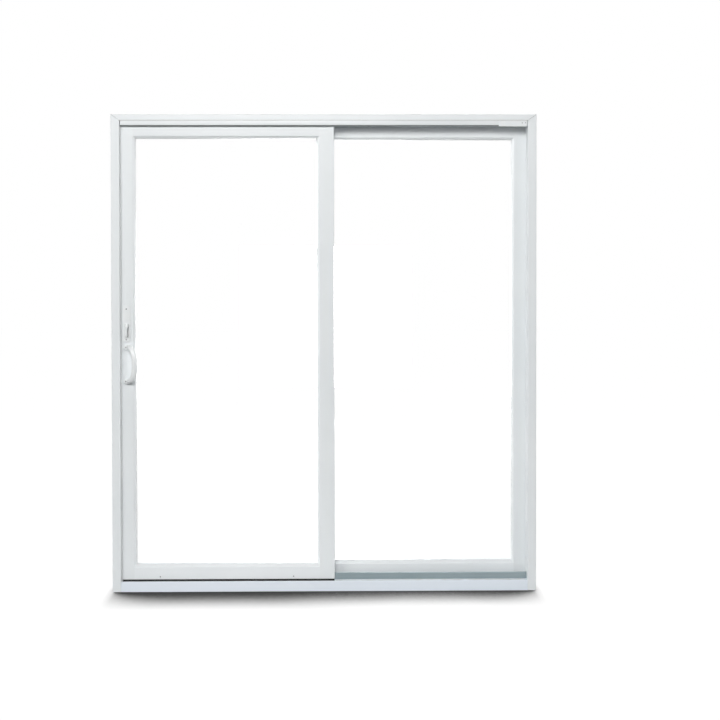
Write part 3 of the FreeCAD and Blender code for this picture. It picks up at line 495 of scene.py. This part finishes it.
railMetal = metalMaterial("anodisedRail", metals["rail"])
lockMetal = metalMaterial("brushedLockPlate", metals["lock"])
rollerMetal = metalMaterial("turnedRoller", metals["roller"])
spacerMetal = metalMaterial("spacerBar", metals["spacer"])
screwMetal = metalMaterial("screwHead", metals["screw"])

coat = {
    "bright": (0.835, 0.86, 0.87), "dull": (0.80, 0.83, 0.84), "rough": (0.26, 0.36),
    "grain": 520.0, "cloud": 18.0, "bump": 0.12, "depth": 0.0004,
}


def coatMaterial(name):
    mat, nodes, links, shader = newMaterial(name)
    skin = place(nodes, skinGrain, Grain_Scale=coat["grain"], Cloud_Scale=coat["cloud"])
    factor = spread(nodes, links, skin.outputs["Cloud"], 0.0, 1.0)
    links.new(mixColour(nodes, links, factor, coat["bright"], coat["dull"]), shader.inputs["Base Color"])
    links.new(spread(nodes, links, skin.outputs["Grain"], *coat["rough"]), shader.inputs["Roughness"])
    bump(nodes, links, shader, skin.outputs["Grain"], coat["bump"], coat["depth"])
    return mat


whiteCoat = coatMaterial("whitePowderCoat")

soft = {
    "pile": {
        "light": (0.28, 0.30, 0.30), "dark": (0.14, 0.16, 0.16), "scale": 1400.0,
        "rough": (0.85, 1.0), "bump": 0.8,
    },
    "palePile": {
        "light": (0.82, 0.83, 0.83), "dark": (0.66, 0.67, 0.68), "scale": 1400.0,
        "rough": (0.85, 1.0), "bump": 0.8,
    },
    "gapShadeBlackPile": {
        "light": (0.018, 0.019, 0.020), "dark": (0.008, 0.008, 0.009), "scale": 1400.0,
        "rough": (0.8, 1.0), "bump": 0.8,
    },
    "gasket": {
        "light": (0.78, 0.80, 0.81), "dark": (0.72, 0.74, 0.75), "scale": 500.0,
        "rough": (0.55, 0.70), "bump": 0.1,
    },
    "jointShade": {
        "light": (0.36, 0.36, 0.35), "dark": (0.28, 0.28, 0.27), "scale": 500.0,
        "rough": (0.50, 0.65), "bump": 0.1,
    },
}
softSkin = {"cloud": 14.0, "depth": 0.0006}


def softMaterial(name, spec):
    mat, nodes, links, shader = newMaterial(name)
    skin = place(nodes, skinGrain, Grain_Scale=spec["scale"], Cloud_Scale=softSkin["cloud"])
    factor = spread(nodes, links, skin.outputs["Grain"], 0.0, 1.0)
    links.new(mixColour(nodes, links, factor, spec["light"], spec["dark"]), shader.inputs["Base Color"])
    links.new(spread(nodes, links, skin.outputs["Cloud"], *spec["rough"]), shader.inputs["Roughness"])
    bump(nodes, links, shader, skin.outputs["Grain"], spec["bump"], softSkin["depth"])
    return mat


greyPileAndHeadShade = softMaterial("greyPileAndHeadShade", soft["pile"])
palePile = softMaterial("palePile", soft["palePile"])
gapShadeBlackPile = softMaterial("gapShadeBlackPile", soft["gapShadeBlackPile"])
paleGasket = softMaterial("paleGasket", soft["gasket"])
jointShadeGrey = softMaterial("jointShadeGrey", soft["jointShade"])

finishes = {
    "head_jamb": frameLevel, "head_stop": frameLevel, "head_clip": frameLevel,
    "lock_jamb": frameUpright, "fixed_jamb": frameUpright,
    "sill": sillVinyl, "roller_rail": railMetal, "open_stop": whiteCoat, "strike_plate": lockMetal,
    "lock_jamb_seal": greyPileAndHeadShade, "middle_seal": greyPileAndHeadShade,
    "fixed_meeting_stile": fixedUprightShaded, "fixed_jamb_stile": fixedUprightShaded,
    "fixed_top_rail": panelLevelShaded, "fixed_bottom_rail": footVinylLit,
    "fixed_side_beads": beadUprightLit, "fixed_end_beads": beadLevelShaded,
    "fixed_glass": clearGlass, "fixed_spacer": spacerMetal,
    "lock_stile": panelUpright, "meeting_stile": panelUpright,
    "sliding_top_rail": panelLevelShaded, "sliding_bottom_rail": footVinylLit,
    "sliding_side_beads": beadUprightLit, "sliding_end_beads": beadLevelShaded,
    "sliding_glass": clearGlass, "sliding_spacer": spacerMetal,
    "roller_wheels": rollerMetal, "roller_carriages": lockMetal, "lock_faceplate": lockMetal,
    "latch_plate": whiteCoat, "pull_handle": whiteCoat, "outer_pull": whiteCoat, "thumb_latch": whiteCoat,
}
for node, finish in finishes.items():
    solid = frame["nodes"][node]
    if not solid.material_slots:
        solid.data.materials.append(finish)
    for slot in solid.material_slots:
        slot.material = finish
print("finishes on", len(finishes), "nodes")


# new pieces
sharpAngle = math.radians(34.0)   # edges steeper than this stay crisp


def newPiece(name, bm, body, skin):
    bmesh.ops.recalc_face_normals(bm, faces=bm.faces)
    mesh = bpy.data.meshes.new(name)
    bm.to_mesh(mesh)
    bm.free()
    mesh.shade_smooth()
    mesh.set_sharp_from_angle(angle=sharpAngle)
    mesh.materials.append(skin)
    piece = bpy.data.objects.new(name, mesh)
    scene.collection.objects.link(piece)
    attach(piece, body)
    return piece


def ofKind(geometry, kind):
    return [g for g in geometry if isinstance(g, kind)]


def edgesOf(corners):
    return list(dict.fromkeys(edge for corner in corners for edge in corner.link_edges))


def roundEdges(bm, edges, offset, segments):
    bmesh.ops.bevel(
        bm, geom=edges, offset=offset, offset_type="OFFSET", segments=segments,
        profile=0.5, affect="EDGES", material=-1, clamp_overlap=True,
    )


def bar(bm, low, high, rounding, segments=2):
    # a bar between two corners, its edges rounded
    low, high = Vector(low), Vector(high)
    fit = Matrix.Translation((low + high) / 2) @ Matrix.Diagonal((*(high - low), 1.0))
    corners = bmesh.ops.create_cube(bm, size=1.0, matrix=fit)["verts"]
    roundEdges(bm, edgesOf(corners), rounding, segments)


def loft(bm, rings, segments, square=2.0):
    # rings are matrices that turn a unit circle, squared off above 2, into one cross-section each
    loops = []
    for ring in rings:
        circle = bmesh.ops.create_circle(bm, segments=segments, radius=1.0)["verts"]
        for corner in circle:
            x, y = corner.co.x, corner.co.y
            corner.co *= (abs(x) ** square + abs(y) ** square) ** (-1 / square)
        bmesh.ops.transform(bm, matrix=ring, verts=circle)
        loops.append(edgesOf(circle))
    for one, other in zip(loops, loops[1:]):
        bmesh.ops.bridge_loops(bm, edges=one + other)
    for loop in (loops[0], loops[-1]):
        bmesh.ops.edgeloop_fill(bm, edges=loop)


def axes(first, second, third, middle):
    # a matrix from three columns and a place
    return Matrix((
        (first[0], second[0], third[0], middle[0]),
        (first[1], second[1], third[1], middle[1]),
        (first[2], second[2], third[2], middle[2]),
        (0.0, 0.0, 0.0, 1.0),
    ))


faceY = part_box("lock_stile")[0].y          # room face of the sliding panel
slideLow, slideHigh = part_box("lock_stile")[0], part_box("meeting_stile")[1]


# brush seals: a backing and a row of pile, uneven along its free edge
brushes = {
    "pitch": 0.006, "leastSteps": 12, "rows": 3, "ragged": 0.0005, "sway": 0.12, "swayScale": 230.0,
    "pileShare": 0.8, "backing": 0.0008, "backingRound": 0.3,
    "head": {"inset": 0.004, "short": 0.005, "depth": 0.0036, "thick": 0.0045},
    "jamb": {"back": 0.006, "low": 0.0445, "short": 0.0455, "depth": 0.0044, "thick": 0.006},
    "carrier": {"inset": 0.001, "drop": 0.0020, "lap": 0.0004, "depth": 0.008, "round": 0.0008},
    "sweep": {"back": 0.002, "lean": (0, -0.886, -0.464), "depth": 0.0122, "thick": 0.003},
}


def brushStrip(name, body, root, along, out, length, depth, thick, skin):
    # root is the middle of one end of the backing
    bm = bmesh.new()
    along, out = Vector(along), Vector(out)
    across = out.cross(along)
    steps = max(brushes["leastSteps"], int(length / brushes["pitch"]))
    lay = axes(along * length, out * depth, across, Vector(root) + along * length / 2 + out * depth / 2)
    bmesh.ops.create_grid(bm, x_segments=steps, y_segments=brushes["rows"], size=0.5, matrix=lay)
    for tuft in bm.verts:
        share = (tuft.co - Vector(root)).dot(out) / depth
        sway = noise.noise_vector(tuft.co * brushes["swayScale"])
        aslant = brushes["sway"] * thick * sway.y * share
        tuft.co += out * (brushes["ragged"] * sway.x * share) + across * aslant
    bmesh.ops.solidify(bm, geom=bm.faces[:], thickness=thick * brushes["pileShare"])
    aside = sum((tuft.co - Vector(root)).dot(across) for tuft in bm.verts) / len(bm.verts)
    bmesh.ops.translate(bm, vec=across * -aside, verts=bm.verts[:])
    half = across * thick / 2
    low = Vector(root) - half
    high = Vector(root) + half + along * length + out * brushes["backing"]
    lowest = Vector(min(a, b) for a, b in zip(low, high))
    highest = Vector(max(a, b) for a, b in zip(low, high))
    bar(bm, lowest, highest, brushes["backing"] * brushes["backingRound"], 1)
    return newPiece(name, bm, body, skin)


def addBrushes():
    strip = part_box("head_stop")
    head, jamb, carrier, sweep = (brushes[part] for part in ("head", "jamb", "carrier", "sweep"))
    # the head brush's dark grey pile is painted shade, a dark line under the head strip
    root = (strip[0].x + head["inset"], (strip[0].y + strip[1].y) / 2, strip[0].z)
    brushStrip(
        "headShadeBrush", "frame", root, (1, 0, 0), (0, 0, -1), strip[1].x - strip[0].x - head["short"],
        head["depth"], head["thick"], greyPileAndHeadShade,
    )
    root = (strip[0].x, faceY + jamb["back"], jamb["low"])
    brushStrip(
        "jambBrush", "frame", root, (0, 0, 1), (1, 0, 0), strip[1].z - jamb["short"],
        jamb["depth"], jamb["thick"], palePile,
    )
    bm = bmesh.new()
    low = (slideLow.x + carrier["inset"], faceY + carrier["lap"], slideLow.z - carrier["drop"])
    high = (slideHigh.x - carrier["inset"], faceY + carrier["depth"], slideLow.z + carrier["lap"])
    bar(bm, low, high, carrier["round"])
    newPiece("sweepCarrier", bm, "sliding_panel", panelLevelShaded)
    # the sweep's black pile is painted shade, darkening the gap under the sliding panel
    root = (low[0], faceY + sweep["back"], low[2])
    brushStrip(
        "panelSweep", "sliding_panel", root, (1, 0, 0), sweep["lean"],
        slideHigh.x - slideLow.x - 2 * carrier["inset"], sweep["depth"], sweep["thick"], gapShadeBlackPile,
    )
    for node in ("lock_jamb_seal", "middle_seal"):
        low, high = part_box(node)
        seal = brushStrip(
            node + "_brush", "frame", ((low.x + high.x) / 2, high.y, low.z), (0, 0, 1), (0, -1, 0),
            high.z - low.z, high.y - low.y, high.x - low.x, greyPileAndHeadShade,
        )
        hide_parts(node)


# the strip below the head face stops just short of the lock jamb
headStrip = {"short": 0.0036, "round": 0.0012, "segments": 3}


def addStrip():
    low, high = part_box("head_stop")
    bm = bmesh.new()
    bar(bm, (low.x + headStrip["short"], low.y, low.z), high, headStrip["round"], headStrip["segments"])
    piece = newPiece("headStrip", bm, "frame", frameLevel)
    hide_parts("head_stop")


# thin grey strips in the joints of the frame's face: painted shade along the joint lines
jointShade = {
    "high": 0.0012, "proud": 0.0003, "deep": 0.0014, "round": 0.00015,
    "mitreWide": 0.0009, "mitreShift": 0.0004, "mitreShort": 0.0014,
}


def addJointShade():
    inner, low = -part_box("head_stop")[0].x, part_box("head_stop")[1].z
    outer, front, top = cadBox[1][0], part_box("head_jamb")[0].y - jointShade["proud"], cadBox[1][2]
    bm = bmesh.new()
    bar(
        bm, (-inner, front, low), (inner, front + jointShade["deep"], low + jointShade["high"]),
        jointShade["round"], 1,
    )
    for way in (-1, 1):
        start, end = Vector((way * inner, 0, low)), Vector((way * outer, 0, top))
        along = (end - start).normalized()
        across = along.cross(Vector((0, 1, 0)))
        middle = (start + end) / 2 + Vector((-way * jointShade["mitreShift"], front + jointShade["deep"] / 2, 0))
        length = (end - start).length - jointShade["mitreShort"]
        lay = axes(along * length, Vector((0, jointShade["deep"], 0)), across * jointShade["mitreWide"], middle)
        corners = bmesh.ops.create_cube(bm, size=1.0, matrix=lay)["verts"]
        roundEdges(bm, edgesOf(corners), jointShade["round"], 1)
    newPiece("faceJointShade", bm, "frame", jointShadeGrey)


addStrip()
addBrushes()
addJointShade()
print("strip, brush seals and sealant laid")


# soft gaskets that hold the panes, on both sides
gaskets = {"width": 0.0010, "thick": 0.0014, "round": 0.0004}


def gasketRing(bm, low, high, paneY, outward):
    # low and high are the daylight's corners, outward is -1 for the room and 1 for the outside
    width, height = high.x - low.x, high.z - low.z
    middle = Vector(((low.x + high.x) / 2, paneY, (low.z + high.z) / 2))
    upend = Matrix.Rotation(math.pi / 2, 4, "X") @ Matrix.Diagonal((width, height, 1, 1))
    lay = Matrix.Translation(middle) @ upend
    corners = bmesh.ops.create_grid(bm, x_segments=1, y_segments=1, size=0.5, matrix=lay)["verts"]
    face = corners[0].link_faces[0]
    ring = bmesh.ops.inset_region(bm, faces=[face], thickness=gaskets["width"], use_boundary=True)["faces"]
    bmesh.ops.delete(bm, geom=[face], context="FACES_ONLY")
    lifted = bmesh.ops.extrude_face_region(bm, geom=ring)["geom"]
    rise = Vector((0, outward * gaskets["thick"], 0))
    bmesh.ops.translate(bm, vec=rise, verts=ofKind(lifted, bmesh.types.BMVert))
    roundEdges(bm, ofKind(lifted, bmesh.types.BMEdge), gaskets["round"], 2)


def addGaskets():
    sides = {
        "sliding": ("sliding_panel", "lock_stile", "meeting_stile"),
        "fixed": ("frame", "fixed_meeting_stile", "fixed_jamb_stile"),
    }
    for prefix, (body, left, right) in sides.items():
        low = Vector((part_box(left)[1].x, 0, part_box(prefix + "_bottom_rail")[1].z))
        high = Vector((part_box(right)[0].x, 0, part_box(prefix + "_top_rail")[0].z))
        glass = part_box(prefix + "_glass")
        bm = bmesh.new()
        gasketRing(bm, low, high, glass[0].y, -1)
        gasketRing(bm, low, high, glass[1].y, 1)
        newPiece(prefix + "Gaskets", bm, body, paleGasket)


addGaskets()
print("gaskets set")


# cross-recessed screws, one shape placed many times
screw = {
    "segments": 24, "skirt": 0.16, "domes": [(0.16, 0.14), (0.22, 0.07)],
    "arm": 0.12, "lip": 0.02, "recess": 0.26,
}


def screwShape():
    # a domed head of radius 1 that faces +Z
    bm = bmesh.new()
    bmesh.ops.create_circle(bm, cap_ends=True, segments=screw["segments"], radius=1.0)
    lifted = bmesh.ops.extrude_face_region(bm, geom=bm.faces[:])["geom"]
    bmesh.ops.translate(bm, vec=(0, 0, screw["skirt"]), verts=ofKind(lifted, bmesh.types.BMVert))
    cap = ofKind(lifted, bmesh.types.BMFace)
    for inward, rise in screw["domes"]:
        bmesh.ops.inset_region(bm, faces=cap, thickness=inward, depth=rise)
    for corner in cap[0].verts:
        x, y = corner.co.x, corner.co.y
        if abs(x) <= abs(y) + 1e-6:
            corner.co.x = max(-screw["arm"], min(screw["arm"], x))
        if abs(y) <= abs(x) + 1e-6:
            corner.co.y = max(-screw["arm"], min(screw["arm"], y))
    bmesh.ops.inset_region(bm, faces=cap, thickness=screw["lip"], depth=-screw["recess"])
    shape = bpy.data.meshes.new("crossScrew")
    bm.to_mesh(shape)
    bm.free()
    return shape


def addScrews(name, body, shape, places, skin):
    # places hold a spot, the way the head faces, and its radius
    bm = bmesh.new()
    for spot, facing, radius in places:
        before = len(bm.verts)
        bm.from_mesh(shape)
        bm.verts.ensure_lookup_table()
        turn = Vector((0, 0, 1)).rotation_difference(Vector(facing)).to_matrix().to_4x4()
        seat = Matrix.Translation(spot) @ turn @ Matrix.Scale(radius, 4)
        bmesh.ops.transform(bm, matrix=seat, verts=bm.verts[before:])
    newPiece(name, bm, body, skin)


room, left, right = (0, -1, 0), (-1, 0, 0), (1, 0, 0)
fixings = {
    "heights": [0.28, 0.76, 1.24, 1.72], "head": 0.0046, "lockHead": 0.0032, "lockReach": 0.066,
    "clipBack": (0.0074, 0.0213), "clipLift": 0.002, "clipHead": 0.0019,
    "rollerHigh": 0.061, "rollerSunk": 0.0035, "rollerHead": 0.0028,
    "plateTop": 0.015, "plateFoot": 0.010, "plateHead": 0.0030,
}


def addAllScrews():
    shape = screwShape()
    strike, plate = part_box("strike_plate"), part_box("lock_faceplate")
    middleY, middleZ = (strike[0].y + strike[1].y) / 2, (strike[0].z + strike[1].z) / 2
    jambX, fixedX = strike[1].x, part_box("fixed_jamb")[0].x
    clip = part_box("head_clip")
    jambs = [((jambX, middleY, z), right, fixings["head"]) for z in fixings["heights"]]
    caps = [((fixedX, middleY, z), left, fixings["head"]) for z in fixings["heights"]]
    addScrews("fixedJambScrews", "frame", shape, caps, whiteCoat)
    for way in (-1, 1):
        spot = (jambX, middleY, middleZ + way * fixings["lockReach"])
        jambs.append((spot, right, fixings["lockHead"]))
    addScrews("frameScrews", "frame", shape, jambs, lockMetal)
    clipHigh = (clip[0].z + clip[1].z) / 2 + fixings["clipLift"]
    dots = [
        ((clip[1].x - back, clip[0].y, clipHigh), room, fixings["clipHead"])
        for back in fixings["clipBack"]
    ]
    addScrews("clipScrews", "frame", shape, dots, screwMetal)
    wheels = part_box("roller_wheels")
    radius = (wheels[1].z - wheels[0].z) / 2
    panel = [
        ((x, faceY + fixings["rollerSunk"], fixings["rollerHigh"]), room, fixings["rollerHead"])
        for x in (wheels[0].x + radius, wheels[1].x - radius)
    ]
    for way in (-1, 1):
        spot = (plate[0].x, middleY, middleZ + way * fixings["lockReach"])
        panel.append((spot, left, fixings["lockHead"]))
    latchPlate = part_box("latch_plate")
    middleX = (latchPlate[0].x + latchPlate[1].x) / 2
    for z in (latchPlate[1].z - fixings["plateTop"], latchPlate[0].z + fixings["plateFoot"]):
        panel.append(((middleX, latchPlate[0].y, z), room, fixings["plateHead"]))
    addScrews("panelScrews", "sliding_panel", shape, panel, screwMetal)
    return shape


crossScrew = addAllScrews()
print("screws driven")


# bowed pull: necks stand out of two oval feet and curve over to the right into the grip
# rise and shift: how far out and to the right the grip's middle stands, and how roundly it gets there
pull = {
    "rise": (0.0390, 0.40), "shift": (0.0265, 1.10), "neckOff": 0.0075, "sweep": 0.9985, "bury": 0.012,
    "stations": 45, "segments": 32, "square": 2.8, "facing": (1.0, 0.10, 0.0),
    "neck": (0.0122, 0.0098), "grip": (0.0114, 0.0058), "taper": 0.62,
    "foot": (0.0180, 0.0124), "screwOff": -0.0085, "screwSunk": 0.0004, "screwHead": 0.0031,
    "footRise": [(0.0, 1.0), (0.0048, 1.0), (0.0070, 0.96), (0.0084, 0.88), (0.0088, 0.74)],
}


def addPull():
    lowest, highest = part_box("pull_handle")
    footX = lowest.x + pull["foot"][0]
    middleZ = (lowest.z + highest.z) / 2
    half = (highest.z - lowest.z) / 2 - pull["foot"][1]
    path, bends = [], []
    for k in range(pull["stations"]):
        angle = math.pi / 2 * pull["sweep"] * math.sin(math.pi * (k / (pull["stations"] - 1) - 0.5))
        bend = math.cos(angle)
        x = footX + pull["neckOff"] + pull["shift"][0] * bend ** pull["shift"][1]
        y = faceY - pull["rise"][0] * bend ** pull["rise"][1]
        path.append(Vector((x, y, middleZ + half * math.sin(angle))))
        bends.append(bend)
    # both ends run on into the stile, where they are cut off
    bury = Vector((0, pull["bury"], 0))
    path = [path[0] + bury, *path, path[-1] + bury]
    bends = [0.0, *bends, 0.0]
    rings = []
    for k, spot in enumerate(path):
        along = (path[min(k + 1, len(path) - 1)] - path[max(k - 1, 0)]).normalized()
        facing = Vector(pull["facing"])
        across = (facing - along * facing.dot(along)).normalized()
        slim = min(1.0, bends[k] / pull["taper"])
        wide, thick = (a + (b - a) * slim for a, b in zip(pull["neck"], pull["grip"]))
        rings.append(axes(across * wide, along.cross(across) * thick, along, spot))
    bm = bmesh.new()
    loft(bm, rings, pull["segments"], pull["square"])
    wide, high = pull["foot"]
    for way in (-1, 1):
        foot = [
            axes((wide * size, 0, 0), (0, 0, high * size), (0, -1, 0),
                 (footX, faceY - rise, middleZ + way * half))
            for rise, size in pull["footRise"]
        ]
        loft(bm, foot, pull["segments"])
    cut = bmesh.ops.bisect_plane(
        bm, geom=bm.verts[:] + bm.edges[:] + bm.faces[:], plane_co=(0, faceY, 0), plane_no=(0, 1, 0),
        clear_outer=True,
    )["geom_cut"]
    bmesh.ops.holes_fill(bm, edges=ofKind(cut, bmesh.types.BMEdge), sides=0)
    piece = newPiece("bowedPull", bm, "sliding_panel", whiteCoat)
    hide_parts("pull_handle")
    seatY = faceY - pull["footRise"][-1][0] + pull["screwSunk"]
    seat = Vector((footX + pull["screwOff"], seatY, middleZ))
    spots = [(seat + Vector((0, 0, way * half)), room, pull["screwHead"]) for way in (-1, 1)]
    addScrews("pullScrews", "sliding_panel", crossScrew, spots, screwMetal)


addPull()
print("pull fitted")


# thumb latch: a turned hub and a waisted lever
latch = {
    "hub": [
        # radius, out from the plate
        (0.0100, 0.0003), (0.0102, 0.0020), (0.0098, 0.0045),
        (0.0086, 0.0072), (0.0060, 0.0092), (0.0, 0.0100),
    ],
    "lever": [
        # height from the pivot, half width, half thickness, out from the plate
        (0.0075, 0.0040, 0.0020, 0.0070), (0.0050, 0.0066, 0.0032, 0.0076),
        (-0.0020, 0.0074, 0.0038, 0.0080), (-0.0120, 0.0060, 0.0036, 0.0080),
        (-0.0230, 0.0048, 0.0033, 0.0078), (-0.0330, 0.0049, 0.0034, 0.0078),
        (-0.0410, 0.0058, 0.0037, 0.0080), (-0.0460, 0.0050, 0.0034, 0.0080),
        (-0.0482, 0.0028, 0.0020, 0.0080),
    ],
    "segments": 24,
    "shadeStripOff": 0.0040, "shadeStripShare": 0.92, "shadeStripThick": 0.0016, "shadeStripRise": 0.0026, "shadeStripSquare": 3.0,
}


def addLatch():
    hinge = next(joint for joint in frame["joints"] if joint["name"] == "latch_turn")
    pivot = Vector(hinge["pos_m"])
    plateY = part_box("latch_plate")[0].y
    bm = bmesh.new()
    profile = [bm.verts.new((pivot.x + r, plateY - rise, pivot.z)) for r, rise in latch["hub"]]
    edges = [bm.edges.new(pair) for pair in zip(profile, profile[1:])]
    bmesh.ops.spin(
        bm, geom=profile + edges, cent=(pivot.x, 0, pivot.z), axis=(0, 1, 0), steps=latch["segments"],
        angle=math.tau, use_merge=True,
    )
    bmesh.ops.remove_doubles(bm, verts=bm.verts[:], dist=1e-6)
    rim = [edge for edge in bm.edges if edge.is_boundary]
    bmesh.ops.edgeloop_fill(bm, edges=rim)
    rings = [
        axes((wide, 0, 0), (0, thick, 0), (0, 0, 1), (pivot.x, plateY - rise, pivot.z + high))
        for high, wide, thick, rise in latch["lever"]
    ]
    loft(bm, rings, latch["segments"])
    piece = newPiece("thumbLever", bm, "latch", whiteCoat)
    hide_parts("thumb_latch")
    # a dark metal strip beside the lever's white cap: painted shade where the lever's shadow falls
    bm = bmesh.new()
    shadeStripX, shadeStripY = pivot.x + latch["shadeStripOff"], plateY - latch["shadeStripRise"]
    rings = [
        axes((wide * latch["shadeStripShare"], 0, 0), (0, latch["shadeStripThick"], 0), (0, 0, 1),
             (shadeStripX, shadeStripY, pivot.z + high))
        for high, wide, *others in latch["lever"]
    ]
    loft(bm, rings, latch["segments"], latch["shadeStripSquare"])
    newPiece("leverShadeStrip", bm, "latch", screwMetal)


addLatch()
print("latch fitted")


# hooded covers over the drain slots, on the outside of the sill
drains = {
    "places": [-0.62, -0.21, 0.21, 0.62], "length": 0.042, "height": 0.011, "proud": 0.0035, "low": 0.012,
    "sunk": 0.001, "round": 0.0016, "segments": 3, "wall": 0.0007, "hollow": 0.004, "leastFloor": 5e-5,
}


def addDrains():
    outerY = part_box("sill")[1].y
    bm = bmesh.new()
    for x in drains["places"]:
        low = (x - drains["length"] / 2, outerY - drains["sunk"], drains["low"])
        high = (x + drains["length"] / 2, outerY + drains["proud"], drains["low"] + drains["height"])
        bar(bm, low, high, drains["round"], drains["segments"])
    floors = [face for face in bm.faces if face.normal.z < -0.9 and face.calc_area() > drains["leastFloor"]]
    bmesh.ops.inset_individual(bm, faces=floors, thickness=drains["wall"], depth=-drains["hollow"])
    newPiece("drainCovers", bm, "frame", frameLevel)


addDrains()
print("drain covers set")
